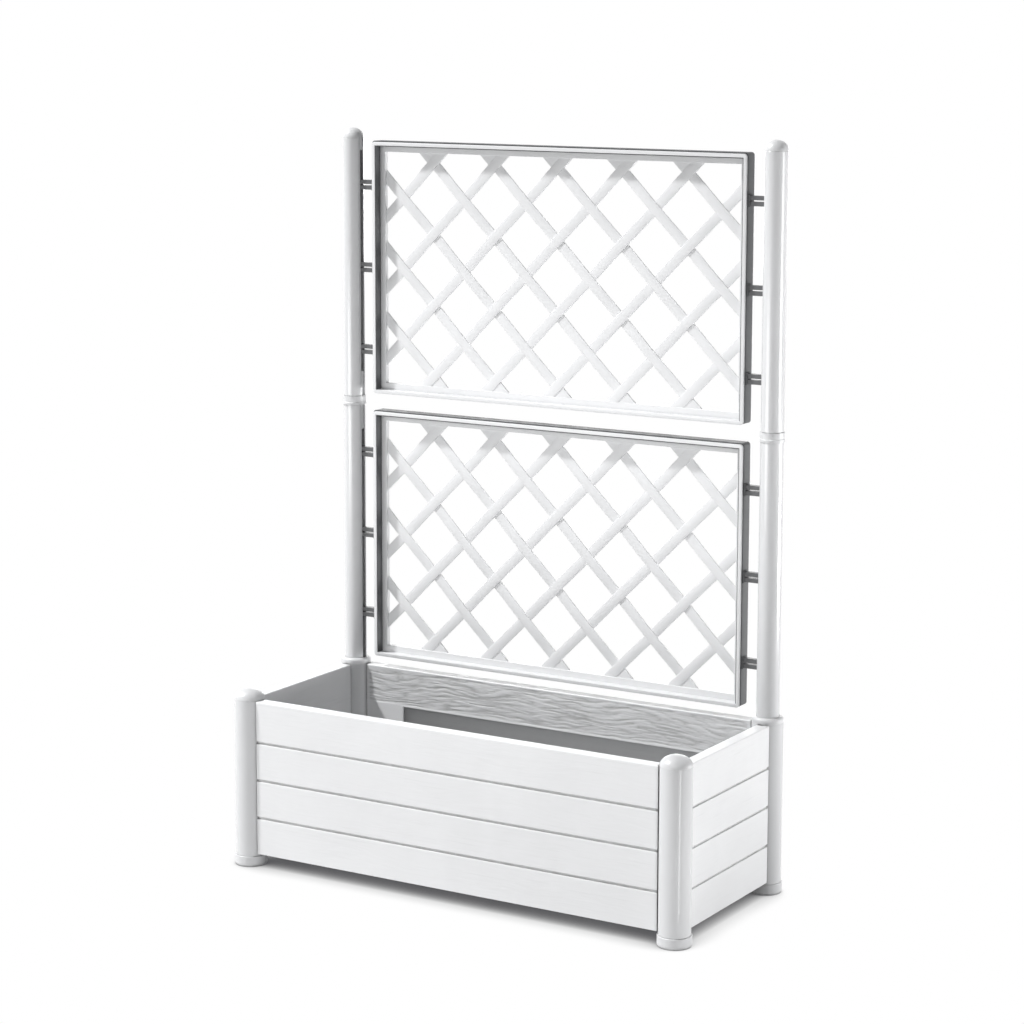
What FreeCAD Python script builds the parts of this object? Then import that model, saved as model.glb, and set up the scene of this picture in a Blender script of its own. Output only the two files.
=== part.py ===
import FreeCAD, Part
import math
import os
import types

import Sketcher

# Planter box on four round posts, with a two-storey lattice screen that plugs into the rear posts.
# Origin: middle of the footprint on the floor. +X to the right, +Y to the back, +Z up, millimetres.

SIZES = (
    # Footprint and fits
    ("overall_width", 1000),
    ("overall_depth", 430),
    ("fit_clearance", 0.3),
    ("slide_clearance", 0.5),
    ("rest_gap", 0.3),
    ("cut_overrun", 2),
    ("seam_round", 1),
    # Feet
    ("foot_overhang", 2),
    ("foot_height", 21),
    ("foot_lower_round", 5),
    ("foot_upper_round", 1.5),
    ("foot_spigot_length", 25),
    ("foot_spigot_wall", 4),
    # Posts
    ("post_wall", 1.4),
    ("post_rise", 1),
    ("socket_depth", 100),
    ("socket_ledge", 3),
    ("cap_seat_depth", 14),
    ("slot_depth", 4),
    # Caps and collars on the posts
    ("dome_height", 20),
    ("dome_wall", 4),
    ("collar_height", 11),
    ("collar_round", 6),
    ("collar_wall", 1.8),
    # Wall panels
    ("panel_ground_gap", 26),
    ("panel_height", 304),
    ("panel_thickness", 25),
    ("panel_setout", 17),
    ("panel_wall", 3.5),
    ("panel_end_gap", 0.5),
    ("panel_edge_round", 2),
    ("tongue_thickness", 12),
    ("board_groove_width", 4),
    ("lowest_board_height", 73),
    ("board_pitch", 75),
    ("top_board_height", 79),
    ("bottom_rail_height", 40),
    ("stile_width", 88),
    ("ledge_width", 18),
    ("ledge_height", 12),
    # Planter floor
    ("base_thickness", 6),
    ("base_side_gap", 0.5),
    ("drain_hole_diameter", 12),
    ("drain_hole_pitch_x", 130),
    ("drain_hole_pitch_y", 160),
    ("cross_bar_width", 60),
    ("cross_bar_thickness", 6),
    ("cross_bar_rib_height", 12),
    ("cross_bar_rib_thickness", 6),
    # Uprights, joiners and top caps
    ("upright_diameter", 44),
    ("upright_wall", 2.5),
    ("upright_rise", 7),
    ("joiner_overhang", 2),
    ("joiner_height", 18),
    ("joiner_lip_height", 5),
    ("joiner_step", 0.8),
    ("joiner_spigot_length", 50),
    ("joiner_wall", 3),
    ("top_cap_height", 20),
    ("top_cap_spigot_length", 25),
    ("channel_width", 12),
    # Lattice panels
    ("trellis_rim_gap", 22),
    ("trellis_height", 502),
    ("trellis_gap", 37),
    ("trellis_side_gap", 32),
    ("trellis_depth", 34),
    ("trellis_front_offset", 13.5),
    ("frame_corner_round", 6),
    ("flange_width", 7),
    ("flange_thickness", 4),
    ("web_thickness", 3),
    ("rail_width", 20),
    ("rail_thickness", 10),
    ("rail_setback", 18.5),
    ("strip_width", 20),
    ("strip_thickness", 4.5),
    ("strip_weld", 0.1),
    ("strip_flat", 26),
    ("lattice_pitch", 141.4),
    # Strips in the frames' edge channels and linings within the frames
    ("edge_strip_rise", 1.2),
    ("edge_strip_top_rise", 2.4),
    ("edge_strip_recess", 1),
    ("lining_thickness", 1.2),
    ("lining_front_gap", 1),
    # Split pegs
    ("peg_spacing", 165),
    ("prong_height", 8),
    ("prong_gap", 3),
    ("prong_reach", 5.5),
    ("peg_head_margin", 1.5),
    ("peg_head_length", 3),
    ("peg_plate_thickness", 3),
    ("peg_plate_margin", 2),
    ("stud_diameter", 8),
)

doc = FreeCAD.newDocument("planter_with_screen")
sheet = doc.addObject("Spreadsheet::Sheet", "Sizes")
for row, (alias, value) in enumerate(SIZES, start=1):
    sheet.set(f"A{row}", alias)
    sheet.set(f"B{row}", str(value))
    sheet.setAlias(f"B{row}", alias)
doc.recompute()


def value_of(term):
    """The number behind a size or a plain number."""
    return term.value if isinstance(term, Size) else term


def formula_of(term):
    """The sheet formula behind a size or a plain number."""
    return term.formula if isinstance(term, Size) else str(term)


class Size:
    """A length of the sheet, or a sum of such lengths, kept both as a number and as a formula."""

    def __init__(self, value, formula):
        self.value = value
        self.formula = formula

    def __add__(self, other):
        return Size(self.value + value_of(other), f"({self.formula} + {formula_of(other)})")

    def __sub__(self, other):
        return Size(self.value - value_of(other), f"({self.formula} - {formula_of(other)})")

    def __mul__(self, factor):
        return Size(self.value * factor, f"({self.formula} * {factor})")

    def __truediv__(self, factor):
        return Size(self.value / factor, f"({self.formula} / {factor})")

    def __neg__(self):
        return self * -1


size = types.SimpleNamespace(**{alias: Size(sheet.get(alias), f"Sizes.{alias}") for alias, _ in SIZES})
nothing = size.overall_width * 0
tolerance = Part.Precision.confusion()

# Places and sizes that follow from the driving ones; the posts are sized round the uprights they hold
upright_radius = size.upright_diameter / 2
upright_bore = upright_radius - size.upright_wall
socket_radius = upright_radius + size.slide_clearance
core_radius = socket_radius - size.socket_ledge
cap_spigot_radius = socket_radius + size.collar_wall
cap_seat_radius = cap_spigot_radius + size.fit_clearance
post_radius = cap_seat_radius + size.post_wall + size.slot_depth
foot_radius = post_radius + size.foot_overhang
post_x = size.overall_width / 2 - foot_radius
post_y = size.overall_depth / 2 - foot_radius
panel_top = size.panel_ground_gap + size.panel_height
post_top = panel_top + size.post_rise
post_length = post_top - size.foot_height
panel_inner_offset = size.panel_thickness - size.panel_setout
ledge_top = size.panel_ground_gap + size.ledge_height
upright_foot = post_top - size.socket_depth + size.rest_gap
lower_trellis_middle = panel_top + size.trellis_rim_gap + size.trellis_height / 2
upper_trellis_middle = lower_trellis_middle + size.trellis_height + size.trellis_gap
joiner_bottom = (lower_trellis_middle + upper_trellis_middle - size.joiner_height) / 2
upper_upright_bottom = joiner_bottom + size.joiner_height + size.rest_gap
upright_top = upper_trellis_middle + size.trellis_height / 2 + size.upright_rise
trellis_width = (post_x - upright_radius - size.trellis_side_gap) * 2
channel_depth = size.flange_width - size.web_thickness
prong_depth = size.channel_width - size.fit_clearance * 2
peg_height = size.prong_height * 2 + size.prong_gap
peg_length = size.trellis_side_gap - size.edge_strip_rise + size.upright_wall + size.prong_reach

pieces = []


def bind(thing, **terms):
    """Ties properties of an object to sizes of the sheet; double underscores stand for dots."""
    for name, term in terms.items():
        thing.setExpression(name.replace("__", "."), formula_of(term))


def place(thing, x, y, z, turn=0):
    """Sets where an object stands and how far it is turned about the vertical."""
    thing.Placement = FreeCAD.Placement(FreeCAD.Vector(), FreeCAD.Rotation(turn, 0, 0))
    bind(thing, Placement__Base__x=x, Placement__Base__y=y, Placement__Base__z=z)


def box(name, low, extent):
    """A block from its low corner and its extent along X, Y and Z."""
    block = doc.addObject("Part::Box", name)
    bind(block, Length=extent[0], Width=extent[1], Height=extent[2])
    place(block, *low)
    return block


def cylinder(name, radius, bottom, height):
    """An upright cylinder on the local vertical axis."""
    rod = doc.addObject("Part::Cylinder", name)
    bind(rod, Radius=radius, Height=height)
    place(rod, nothing, nothing, bottom)
    return rod


def fuse(name, *things):
    """One solid out of several that touch or overlap."""
    whole = doc.addObject("Part::MultiFuse", name)
    whole.Shapes = list(things)
    whole.Refine = True
    return whole


def cut(name, base, *tools):
    """A solid less one tool or several."""
    rest = doc.addObject("Part::Cut", name)
    rest.Base = base
    rest.Tool = tools[0] if len(tools) == 1 else fuse(f"{name}_tools", *tools)
    rest.Refine = True
    return rest


def rounded(name, base, radius, wanted):
    """A solid whose wanted edges are rounded."""
    doc.recompute()
    soft = doc.addObject("Part::Fillet", name)
    soft.Base = base
    numbers = [number for number, edge in enumerate(base.Shape.Edges, start=1) if wanted(edge)]
    soft.Edges = [(number, radius.value, radius.value) for number in numbers]
    return soft


def is_ring_at(height):
    """Picks the round edges that lie flat at a height."""
    return lambda edge: all(math.isclose(level, height.value, abs_tol=tolerance)
                            for level in (edge.BoundBox.ZMin, edge.BoundBox.ZMax))


def end_rounded(name, rod, length):
    """A rod whose rims at both ends are rounded, so that a seam shows where it meets its neighbour."""
    lower = rounded(f"{name}_lower_rim", rod, size.seam_round, is_ring_at(nothing))
    return rounded(f"{name}_upper_rim", lower, size.seam_round, is_ring_at(length))


def runs_along(edge, axis):
    """Whether an edge of a block runs along one axis, named x, y or z."""
    direction = edge.tangentAt(edge.FirstParameter)
    return math.isclose(abs(getattr(direction, axis)), 1)


def piece(thing, label):
    """Makes an object a sub-part under its own name."""
    thing.Label = label
    pieces.append(thing)
    return thing


def turned(label, outline):
    """A body turned about its own vertical axis from a closed outline of (radius, height) corners."""
    body = doc.addObject("PartDesign::Body", label)
    plane = next(item for item in body.Origin.OriginFeatures if item.Role == "XZ_Plane")
    sketch = body.newObject("Sketcher::SketchObject", f"{label}_outline")
    sketch.AttachmentSupport = [(plane, "")]
    sketch.MapMode = "FlatFace"
    corners = [FreeCAD.Vector(value_of(radius), value_of(height)) for radius, height in outline]
    for number, corner in enumerate(corners):
        sketch.addGeometry(Part.LineSegment(corner, corners[(number + 1) % len(corners)]))
    for number, (radius, height) in enumerate(outline):
        sketch.addConstraint(Sketcher.Constraint("Coincident", number, 2, (number + 1) % len(outline), 1))
        for axis, term in (("DistanceX", radius), ("DistanceY", height)):
            if value_of(term) == 0:
                sketch.addConstraint(Sketcher.Constraint("PointOnObject", number, 1, -1))
                continue
            datum = sketch.addConstraint(Sketcher.Constraint(axis, -1, 1, number, 1, value_of(term)))
            sketch.setExpression(f"Constraints[{datum}]", formula_of(term))
    turn = body.newObject("PartDesign::Revolution", f"{label}_turn")
    turn.Profile = sketch
    turn.ReferenceAxis = (sketch, ["V_Axis"])
    turn.Angle = 360
    body.Tip = turn
    return body


def foot(label, x, y):
    """Round foot cap with a hollow spigot that goes up into the post."""
    spigot_radius = core_radius - size.fit_clearance
    disc = cylinder(f"{label}_disc", foot_radius, nothing, size.foot_height)
    lower = rounded(f"{label}_lower_round", disc, size.foot_lower_round, is_ring_at(nothing))
    upper = rounded(f"{label}_upper_round", lower, size.foot_upper_round, is_ring_at(size.foot_height))
    spigot = cylinder(f"{label}_spigot", spigot_radius, size.foot_height / 2,
                      size.foot_height / 2 + size.foot_spigot_length)
    hollow = cylinder(f"{label}_hollow", spigot_radius - size.foot_spigot_wall, size.foot_height / 2,
                      size.foot_height / 2 + size.foot_spigot_length + size.cut_overrun)
    whole = cut(f"{label}_whole", fuse(f"{label}_solid", upper, spigot), hollow)
    place(whole, x, y, nothing)
    piece(whole, label)


def post(label, x, y, turn):
    """Round post with a stepped bore and two slots, towards its own +X and +Y, for the panels' tongues."""
    slot_width = size.tongue_thickness + size.fit_clearance * 2
    slot_floor = post_radius - size.slot_depth
    slot_bottom = size.panel_ground_gap - size.foot_height - size.fit_clearance
    slot_height = post_length - slot_bottom + size.cut_overrun
    slot_reach = size.slot_depth + size.cut_overrun
    rod = cylinder(f"{label}_rod", post_radius, nothing, post_length)
    core = cylinder(f"{label}_core", core_radius, -size.cut_overrun, post_length + size.cut_overrun)
    socket = cylinder(f"{label}_socket", socket_radius, post_length - size.socket_depth,
                      size.socket_depth + size.cut_overrun)
    seat = cylinder(f"{label}_seat", cap_seat_radius, post_length - size.cap_seat_depth,
                    size.cap_seat_depth + size.cut_overrun)
    slot_x = box(f"{label}_slot_x", (slot_floor, -(slot_width / 2), slot_bottom),
                 (slot_reach, slot_width, slot_height))
    slot_y = box(f"{label}_slot_y", (-(slot_width / 2), slot_floor, slot_bottom),
                 (slot_width, slot_reach, slot_height))
    soft = end_rounded(label, rod, post_length)
    whole = cut(f"{label}_whole", soft, core, socket, seat, slot_x, slot_y)
    place(whole, x, y, size.foot_height, turn)
    piece(whole, label)


def dome(label, radius, height, spigot_radius, spigot_length, x, y, z):
    """Hollow dome cap with a spigot that goes down into a post or an upright."""
    shell = doc.addObject("Part::Ellipsoid", f"{label}_shell")
    bind(shell, Radius1=height, Radius2=radius, Radius3=radius)
    shell.Angle1 = 0
    spigot = cylinder(f"{label}_spigot", spigot_radius, -spigot_length, spigot_length + size.dome_wall)
    hollow = cylinder(f"{label}_hollow", spigot_radius - size.dome_wall, -spigot_length - size.cut_overrun,
                      spigot_length + size.cut_overrun + size.dome_wall)
    whole = cut(f"{label}_whole", fuse(f"{label}_solid", shell, spigot), hollow)
    place(whole, x, y, z)
    piece(whole, label)


def collar(label, x, y):
    """Shoulder collar that closes a rear post around the upright."""
    disc = cylinder(f"{label}_disc", post_radius, nothing, size.collar_height)
    shoulder = rounded(f"{label}_shoulder", disc, size.collar_round, is_ring_at(size.collar_height))
    spigot = cylinder(f"{label}_spigot", cap_spigot_radius, -size.cap_seat_depth,
                      size.cap_seat_depth + size.collar_height / 2)
    bore = cylinder(f"{label}_bore", socket_radius, -size.cap_seat_depth - size.cut_overrun,
                    size.cap_seat_depth + size.collar_height + size.cut_overrun * 2)
    whole = cut(f"{label}_whole", fuse(f"{label}_solid", shoulder, spigot), bore)
    place(whole, x, y, post_top)
    piece(whole, label)


def panel(label, reach, x, y, turn, notched):
    """Double-walled panel between posts at -reach and +reach: grooved boards outside, a recess inside."""
    end_radius = post_radius + size.panel_end_gap
    half = reach - end_radius
    length = half * 2
    wall = size.panel_wall
    inside = size.panel_thickness - wall
    block = box(f"{label}_block", (-reach, nothing, nothing),
                (reach * 2, size.panel_thickness, size.panel_height))
    soft = rounded(f"{label}_soft", block, size.panel_edge_round,
                   lambda edge: runs_along(edge, "x") and edge.BoundBox.ZMin > size.panel_height.value / 2)
    ledge = box(f"{label}_ledge", (-half, inside, nothing),
                (length, wall + size.ledge_width, size.ledge_height))
    cavity = box(f"{label}_cavity", (wall - half, wall, wall),
                 (length - wall * 2, inside - wall, size.panel_height - wall * 2))
    window = box(f"{label}_window",
                 (size.stile_width - half, inside - size.cut_overrun, size.bottom_rail_height),
                 (length - size.stile_width * 2, wall + size.cut_overrun * 2,
                  size.panel_height - size.bottom_rail_height - size.top_board_height))
    tools = [cavity, window]
    side = size.board_groove_width / math.sqrt(2)
    groove_height = size.lowest_board_height
    while groove_height.value < size.panel_height.value - size.board_pitch.value / 2:
        groove = doc.addObject("Part::Box", f"{label}_groove")
        bind(groove, Length=(reach + size.cut_overrun) * 2, Width=side, Height=side)
        place(groove, -reach - size.cut_overrun, nothing, groove_height - size.board_groove_width / 2)
        groove.Placement.Rotation = FreeCAD.Rotation(FreeCAD.Vector(1, 0, 0), 45)
        tools.append(groove)
        groove_height = groove_height + size.board_pitch
    if notched:
        notch_width = size.cross_bar_width + size.fit_clearance * 2
        notch_bottom = size.ledge_height - size.cross_bar_thickness
        tools.append(box(f"{label}_notch", (-(notch_width / 2), size.panel_thickness, notch_bottom),
                         (notch_width, size.ledge_width + size.cut_overrun,
                          size.cross_bar_thickness + size.cut_overrun)))
    for end in (-reach, reach):
        hollow = cylinder(f"{label}_end", end_radius, nothing, size.panel_height + size.cut_overrun * 2)
        place(hollow, end, size.panel_setout, -size.cut_overrun)
        tools.append(hollow)
    shell = cut(f"{label}_shell", fuse(f"{label}_solid", soft, ledge), *tools)
    tongue_length = wall + size.panel_end_gap + size.slot_depth - size.fit_clearance
    tongues = [box(f"{label}_tongue", (low_end, size.panel_setout - size.tongue_thickness / 2, nothing),
                   (tongue_length, size.tongue_thickness, size.panel_height - size.panel_edge_round))
               for low_end in (half - wall, wall - half - tongue_length)]
    whole = fuse(f"{label}_whole", shell, *tongues)
    place(whole, x, y, size.panel_ground_gap, turn)
    piece(whole, label)


def base_half(label, hand):
    """One half of the planter's floor, cut round the posts, with drain holes."""
    reach_x = post_x - panel_inner_offset - size.base_side_gap
    reach_y = post_y - panel_inner_offset - size.base_side_gap
    length = reach_x - size.base_side_gap
    low_x = size.base_side_gap if hand > 0 else -reach_x
    plate = box(f"{label}_plate", (low_x, -reach_y, ledge_top), (length, reach_y * 2, size.base_thickness))
    tools = []
    for side in (-1, 1):
        corner = cylinder(f"{label}_corner", post_radius + size.base_side_gap, ledge_top - size.cut_overrun,
                          size.base_thickness + size.cut_overrun * 2)
        place(corner, post_x * hand, post_y * side, ledge_top - size.cut_overrun)
        tools.append(corner)
    for column in (-1, 0, 1):
        for line in (-1, 1):
            drain = cylinder(f"{label}_drain", size.drain_hole_diameter / 2, nothing,
                             size.base_thickness + size.cut_overrun * 2)
            place(drain, reach_x * hand / 2 + size.drain_hole_pitch_x * column,
                  size.drain_hole_pitch_y * line / 2, ledge_top - size.cut_overrun)
            tools.append(drain)
    piece(cut(f"{label}_whole", plate, *tools), label)


def base_cross_bar():
    """Ribbed bar that lies in the notches of the front and back ledges and carries both floor halves."""
    reach = post_y - panel_inner_offset - size.base_side_gap
    rib_reach = post_y - panel_inner_offset - size.ledge_width - size.base_side_gap
    plate_bottom = ledge_top - size.cross_bar_thickness
    plate = box("cross_bar_plate", (-(size.cross_bar_width / 2), -reach, plate_bottom),
                (size.cross_bar_width, reach * 2, size.cross_bar_thickness))
    rib = box("cross_bar_rib", (-(size.cross_bar_rib_thickness / 2), -rib_reach,
                                plate_bottom - size.cross_bar_rib_height),
              (size.cross_bar_rib_thickness, rib_reach * 2,
               size.cross_bar_rib_height + size.cross_bar_thickness / 2))
    piece(fuse("cross_bar_whole", plate, rib), "base_cross_bar")


def upright(label, hand, bottom, top):
    """Round tube with a channel for the pegs all along its inner side."""
    length = top - bottom
    tube = cylinder(f"{label}_tube", upright_radius, nothing, length)
    bore = cylinder(f"{label}_bore", upright_bore, -size.cut_overrun, length + size.cut_overrun * 2)
    channel_x = nothing if hand < 0 else -upright_radius - size.cut_overrun
    channel = box(f"{label}_channel", (channel_x, -(size.channel_width / 2), -size.cut_overrun),
                  (upright_radius + size.cut_overrun, size.channel_width, length + size.cut_overrun * 2))
    whole = cut(f"{label}_whole", end_rounded(label, tube, length), bore, channel)
    place(whole, post_x * hand, post_y, bottom)
    piece(whole, label)


def joiner(label, hand):
    """Ring with a spigot at each end that joins a lower and an upper upright."""
    outer = upright_radius + size.joiner_overhang
    spigot = upright_bore - size.fit_clearance
    bore = spigot - size.joiner_wall
    ring_bottom = size.joiner_spigot_length
    ring_top = ring_bottom + size.joiner_height
    lip_top = ring_bottom + size.joiner_lip_height
    end = ring_top + size.joiner_spigot_length
    body = turned(label, ((bore, nothing), (spigot, nothing), (spigot, ring_bottom),
                          (outer - size.joiner_step, ring_bottom), (outer, ring_bottom + size.joiner_step),
                          (outer, lip_top), (outer - size.joiner_step, lip_top + size.joiner_step),
                          (outer - size.joiner_step, ring_top), (spigot, ring_top),
                          (spigot, end), (bore, end)))
    place(body, post_x * hand, post_y, joiner_bottom - ring_bottom)
    piece(body, label)


def frame_block(name, inset, front, depth, round_corners=False):
    """A block of the lattice frame's outline, drawn in from its edge on all four sides."""
    width = trellis_width - inset * 2
    height = size.trellis_height - inset * 2
    block = box(name, (-(width / 2), front, -(height / 2)), (width, depth, height))
    if not round_corners:
        return block
    return rounded(f"{name}_rounded", block, size.frame_corner_round, lambda edge: runs_along(edge, "y"))


def frame_ring(name, outer_inset, inner_inset, front, depth, round_corners=False):
    """A rectangular ring of the lattice frame."""
    outer = frame_block(f"{name}_outer", outer_inset, front, depth, round_corners)
    inner = frame_block(f"{name}_inner", inner_inset, front - size.cut_overrun, depth + size.cut_overrun * 2)
    return cut(name, outer, inner)


def stud_holes(name):
    """Rods along X through both sides of the frame, one to a peg level."""
    rods = []
    for level in (-1, 0, 1):
        overhang = size.edge_strip_rise + size.cut_overrun
        rod = cylinder(f"{name}_hole", size.stud_diameter / 2 + size.fit_clearance, nothing,
                       trellis_width + overhang * 2)
        place(rod, -(trellis_width / 2) - overhang, size.trellis_front_offset, size.peg_spacing * level)
        rod.Placement.Rotation = FreeCAD.Rotation(FreeCAD.Vector(0, 1, 0), 90)
        rods.append(rod)
    return rods


def woven_strip(lean, offset, rows):
    """One lattice strip at 45 degrees that passes in turn before and behind the strips that cross it."""
    upward = FreeCAD.Vector(lean, 0, 1).normalize()
    across = FreeCAD.Vector(1, 0, -lean).normalize() * size.strip_width.value
    row_height = size.lattice_pitch.value / 2
    half_flat = upward * (size.strip_flat.value / 2)
    half_skin = FreeCAD.Vector(0, size.strip_thickness.value / 2, 0)
    lift = FreeCAD.Vector(0, (size.strip_thickness - size.strip_weld).value / 2, 0)
    middle = (size.rail_setback + size.rail_thickness / 2).value
    centre_line = []
    for row in range(-rows, rows + 1):
        knot = FreeCAD.Vector(offset + lean * row * row_height, middle, row * row_height)
        knot += lift if (row % 2 == 0) == (lean > 0) else -lift
        centre_line += [knot - half_flat, knot + half_flat]
    corners = [corner - half_skin for corner in centre_line]
    corners += [corner + half_skin for corner in reversed(centre_line)]
    band = Part.Face(Part.makePolygon(corners + corners[:1]))
    band.translate(across / -2)
    return band.extrude(across)


def gusset(x, knot_height, side):
    """Three-cornered web between two strips and the rail that they run into."""
    rail_height = (size.trellis_height / 2 - size.flange_width).value
    half_strip = size.strip_width.value / math.sqrt(2)
    reach = rail_height - knot_height + half_strip
    front = (size.rail_setback + size.rail_thickness / 2 - size.strip_thickness / 2).value
    corners = [FreeCAD.Vector(x, front, side * (knot_height - half_strip)),
               FreeCAD.Vector(x + reach, front, side * rail_height),
               FreeCAD.Vector(x - reach, front, side * rail_height)]
    web = Part.Face(Part.makePolygon(corners + corners[:1]))
    return web.extrude(FreeCAD.Vector(0, size.strip_thickness.value, 0))


def lattice(name):
    """All woven strips and gussets of one lattice panel, trimmed to end within the rails."""
    pitch = size.lattice_pitch.value
    trim = (size.flange_width + size.rail_width) / 2
    room_width = (trellis_width - trim * 2).value
    room_height = (size.trellis_height - trim * 2).value
    room = Part.makeBox(room_width, size.rail_thickness.value, room_height,
                        FreeCAD.Vector(-room_width / 2, size.rail_setback.value, -room_height / 2))
    rows = math.ceil(room_height / pitch) + 1
    strips_each_way = math.ceil((room_width + room_height) / 2 / pitch)
    webs = []
    for number in range(-strips_each_way, strips_each_way):
        webs += [woven_strip(lean, (number + 1 / 2) * pitch, rows) for lean in (-1, 1)]
    edge_row = round((size.trellis_height / 2 - size.rail_width).value / pitch * 2)
    for number in range(-strips_each_way, strips_each_way + 1):
        knot_x = (number + (edge_row + 1) % 2 / 2) * pitch
        webs += [gusset(knot_x, edge_row * pitch / 2, side) for side in (-1, 1)]
    trimmed = [web.common(room) for web in webs]
    trimmed = [web for web in trimmed if web.Volume > 0]
    weave = doc.addObject("Part::Feature", name)
    weave.Shape = trimmed[0].multiFuse(trimmed[1:])
    return weave


def trellis(label, middle):
    """Lattice panel in a frame whose edge is a channel that opens outwards."""
    rear = size.trellis_depth - size.flange_thickness
    front_flange = frame_ring(f"{label}_front_flange", nothing, size.flange_width, nothing,
                              size.flange_thickness, round_corners=True)
    rear_flange = frame_ring(f"{label}_rear_flange", nothing, size.flange_width, rear,
                             size.flange_thickness, round_corners=True)
    web = frame_ring(f"{label}_web", channel_depth, size.flange_width, nothing, size.trellis_depth)
    rail = frame_ring(f"{label}_rail", channel_depth, size.rail_width, size.rail_setback, size.rail_thickness)
    frame = cut(f"{label}_frame", fuse(f"{label}_rings", front_flange, rear_flange, web, rail),
                *stud_holes(label))
    whole = fuse(f"{label}_whole", frame, lattice(f"{label}_lattice"))
    place(whole, nothing, post_y - size.trellis_front_offset, middle)
    piece(whole, label)


def edge_lining(name):
    """Thin lining of the frame's sides and top, between the front edge and the rail; open at the bottom."""
    inset = size.flange_width + size.fit_clearance
    front = size.lining_front_gap
    depth = size.rail_setback - size.fit_clearance - front
    outer = frame_block(f"{name}_outer", inset, front, depth)
    half_opening = trellis_width / 2 - inset - size.lining_thickness
    low = -(size.trellis_height / 2) - size.cut_overrun
    opening = box(f"{name}_opening", (-half_opening, front - size.cut_overrun, low),
                  (half_opening * 2, depth + size.cut_overrun * 2,
                   size.trellis_height / 2 - inset - size.lining_thickness - low))
    return cut(name, outer, opening)


def edge_strip(label, middle):
    """Strip in a lattice frame's channel, proud at the sides and on top, and the lining within the frame."""
    front = size.flange_thickness + size.fit_clearance
    depth = size.trellis_depth - front * 2
    half_width = trellis_width / 2 + size.edge_strip_rise
    bottom = size.edge_strip_recess - size.trellis_height / 2
    outer = box(f"{label}_outer", (-half_width, front, bottom),
                (half_width * 2, depth, size.trellis_height / 2 + size.edge_strip_top_rise - bottom))
    soft = rounded(f"{label}_soft", outer, size.frame_corner_round, lambda edge: runs_along(edge, "y"))
    inner = frame_block(f"{label}_inner", channel_depth - size.fit_clearance, front - size.cut_overrun,
                        depth + size.cut_overrun * 2)
    strip = cut(f"{label}_strip", soft, inner, *stud_holes(label))
    whole = doc.addObject("Part::Compound", f"{label}_whole")
    whole.Links = [strip, edge_lining(f"{label}_lining")]
    place(whole, nothing, post_y - size.trellis_front_offset, middle)
    piece(whole, label)


def peg_master():
    """One split peg along +X: stud and plate for the lattice frame, two headed prongs for an upright."""
    plate_depth = prong_depth + size.peg_plate_margin * 2
    plate_height = peg_height + size.peg_plate_margin * 2
    head_depth = size.channel_width + size.peg_head_margin * 2
    stud_length = size.flange_width + size.edge_strip_rise - size.web_thickness / 2
    stud = cylinder("peg_stud", size.stud_diameter / 2, nothing, stud_length + size.peg_plate_thickness / 2)
    place(stud, -stud_length, nothing, nothing)
    stud.Placement.Rotation = FreeCAD.Rotation(FreeCAD.Vector(0, 1, 0), 90)
    solids = [stud, box("peg_plate", (nothing, -(plate_depth / 2), -(plate_height / 2)),
                        (size.peg_plate_thickness, plate_depth, plate_height))]
    half_gap = size.prong_gap / 2
    for prong_low in (half_gap, -half_gap - size.prong_height):
        solids.append(box("peg_prong", (nothing, -(prong_depth / 2), prong_low),
                          (peg_length, prong_depth, size.prong_height)))
        solids.append(box("peg_head", (peg_length - size.peg_head_length, -(head_depth / 2), prong_low),
                          (size.peg_head_length, head_depth, size.prong_height)))
    return fuse("peg", *solids)


def peg_group(label, master, middle):
    """The six pegs of one lattice panel, three to a side, as copies of one peg."""
    copies = []
    for hand in (-1, 1):
        for level in (-1, 0, 1):
            copy = doc.addObject("App::Link", f"{label}_copy")
            copy.LinkedObject = master
            place(copy, (trellis_width / 2 + size.edge_strip_rise) * hand, nothing, size.peg_spacing * level,
                  0 if hand > 0 else 180)
            copies.append(copy)
    group = doc.addObject("Part::Compound", f"{label}_group")
    group.Links = copies
    place(group, nothing, post_y, middle)
    piece(group, label)


# Posts, feet and caps; each post is turned so that its slots face the panels
for depth_name, depth_side in (("front", -1), ("rear", 1)):
    for hand_name, hand_side in (("left", -1), ("right", 1)):
        corner_name = f"{depth_name}_{hand_name}"
        corner_turn = {"front_left": 0, "front_right": 90, "rear_right": 180, "rear_left": 270}[corner_name]
        foot(f"{corner_name}_foot", post_x * hand_side, post_y * depth_side)
        post(f"{corner_name}_post", post_x * hand_side, post_y * depth_side, corner_turn)
        if depth_name == "front":
            dome(f"{corner_name}_cap", post_radius, size.dome_height, cap_spigot_radius, size.cap_seat_depth,
                 post_x * hand_side, post_y * depth_side, post_top)
        else:
            collar(f"{corner_name}_collar", post_x * hand_side, post_y * depth_side)

# Walls and floor
panel("front_panel", post_x, nothing, -post_y - size.panel_setout, 0, notched=True)
panel("back_panel", post_x, nothing, post_y + size.panel_setout, 180, notched=True)
panel("right_panel", post_y, post_x + size.panel_setout, nothing, 90, notched=False)
panel("left_panel", post_y, -post_x - size.panel_setout, nothing, 270, notched=False)
base_half("base_left", -1)
base_half("base_right", 1)
base_cross_bar()

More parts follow.
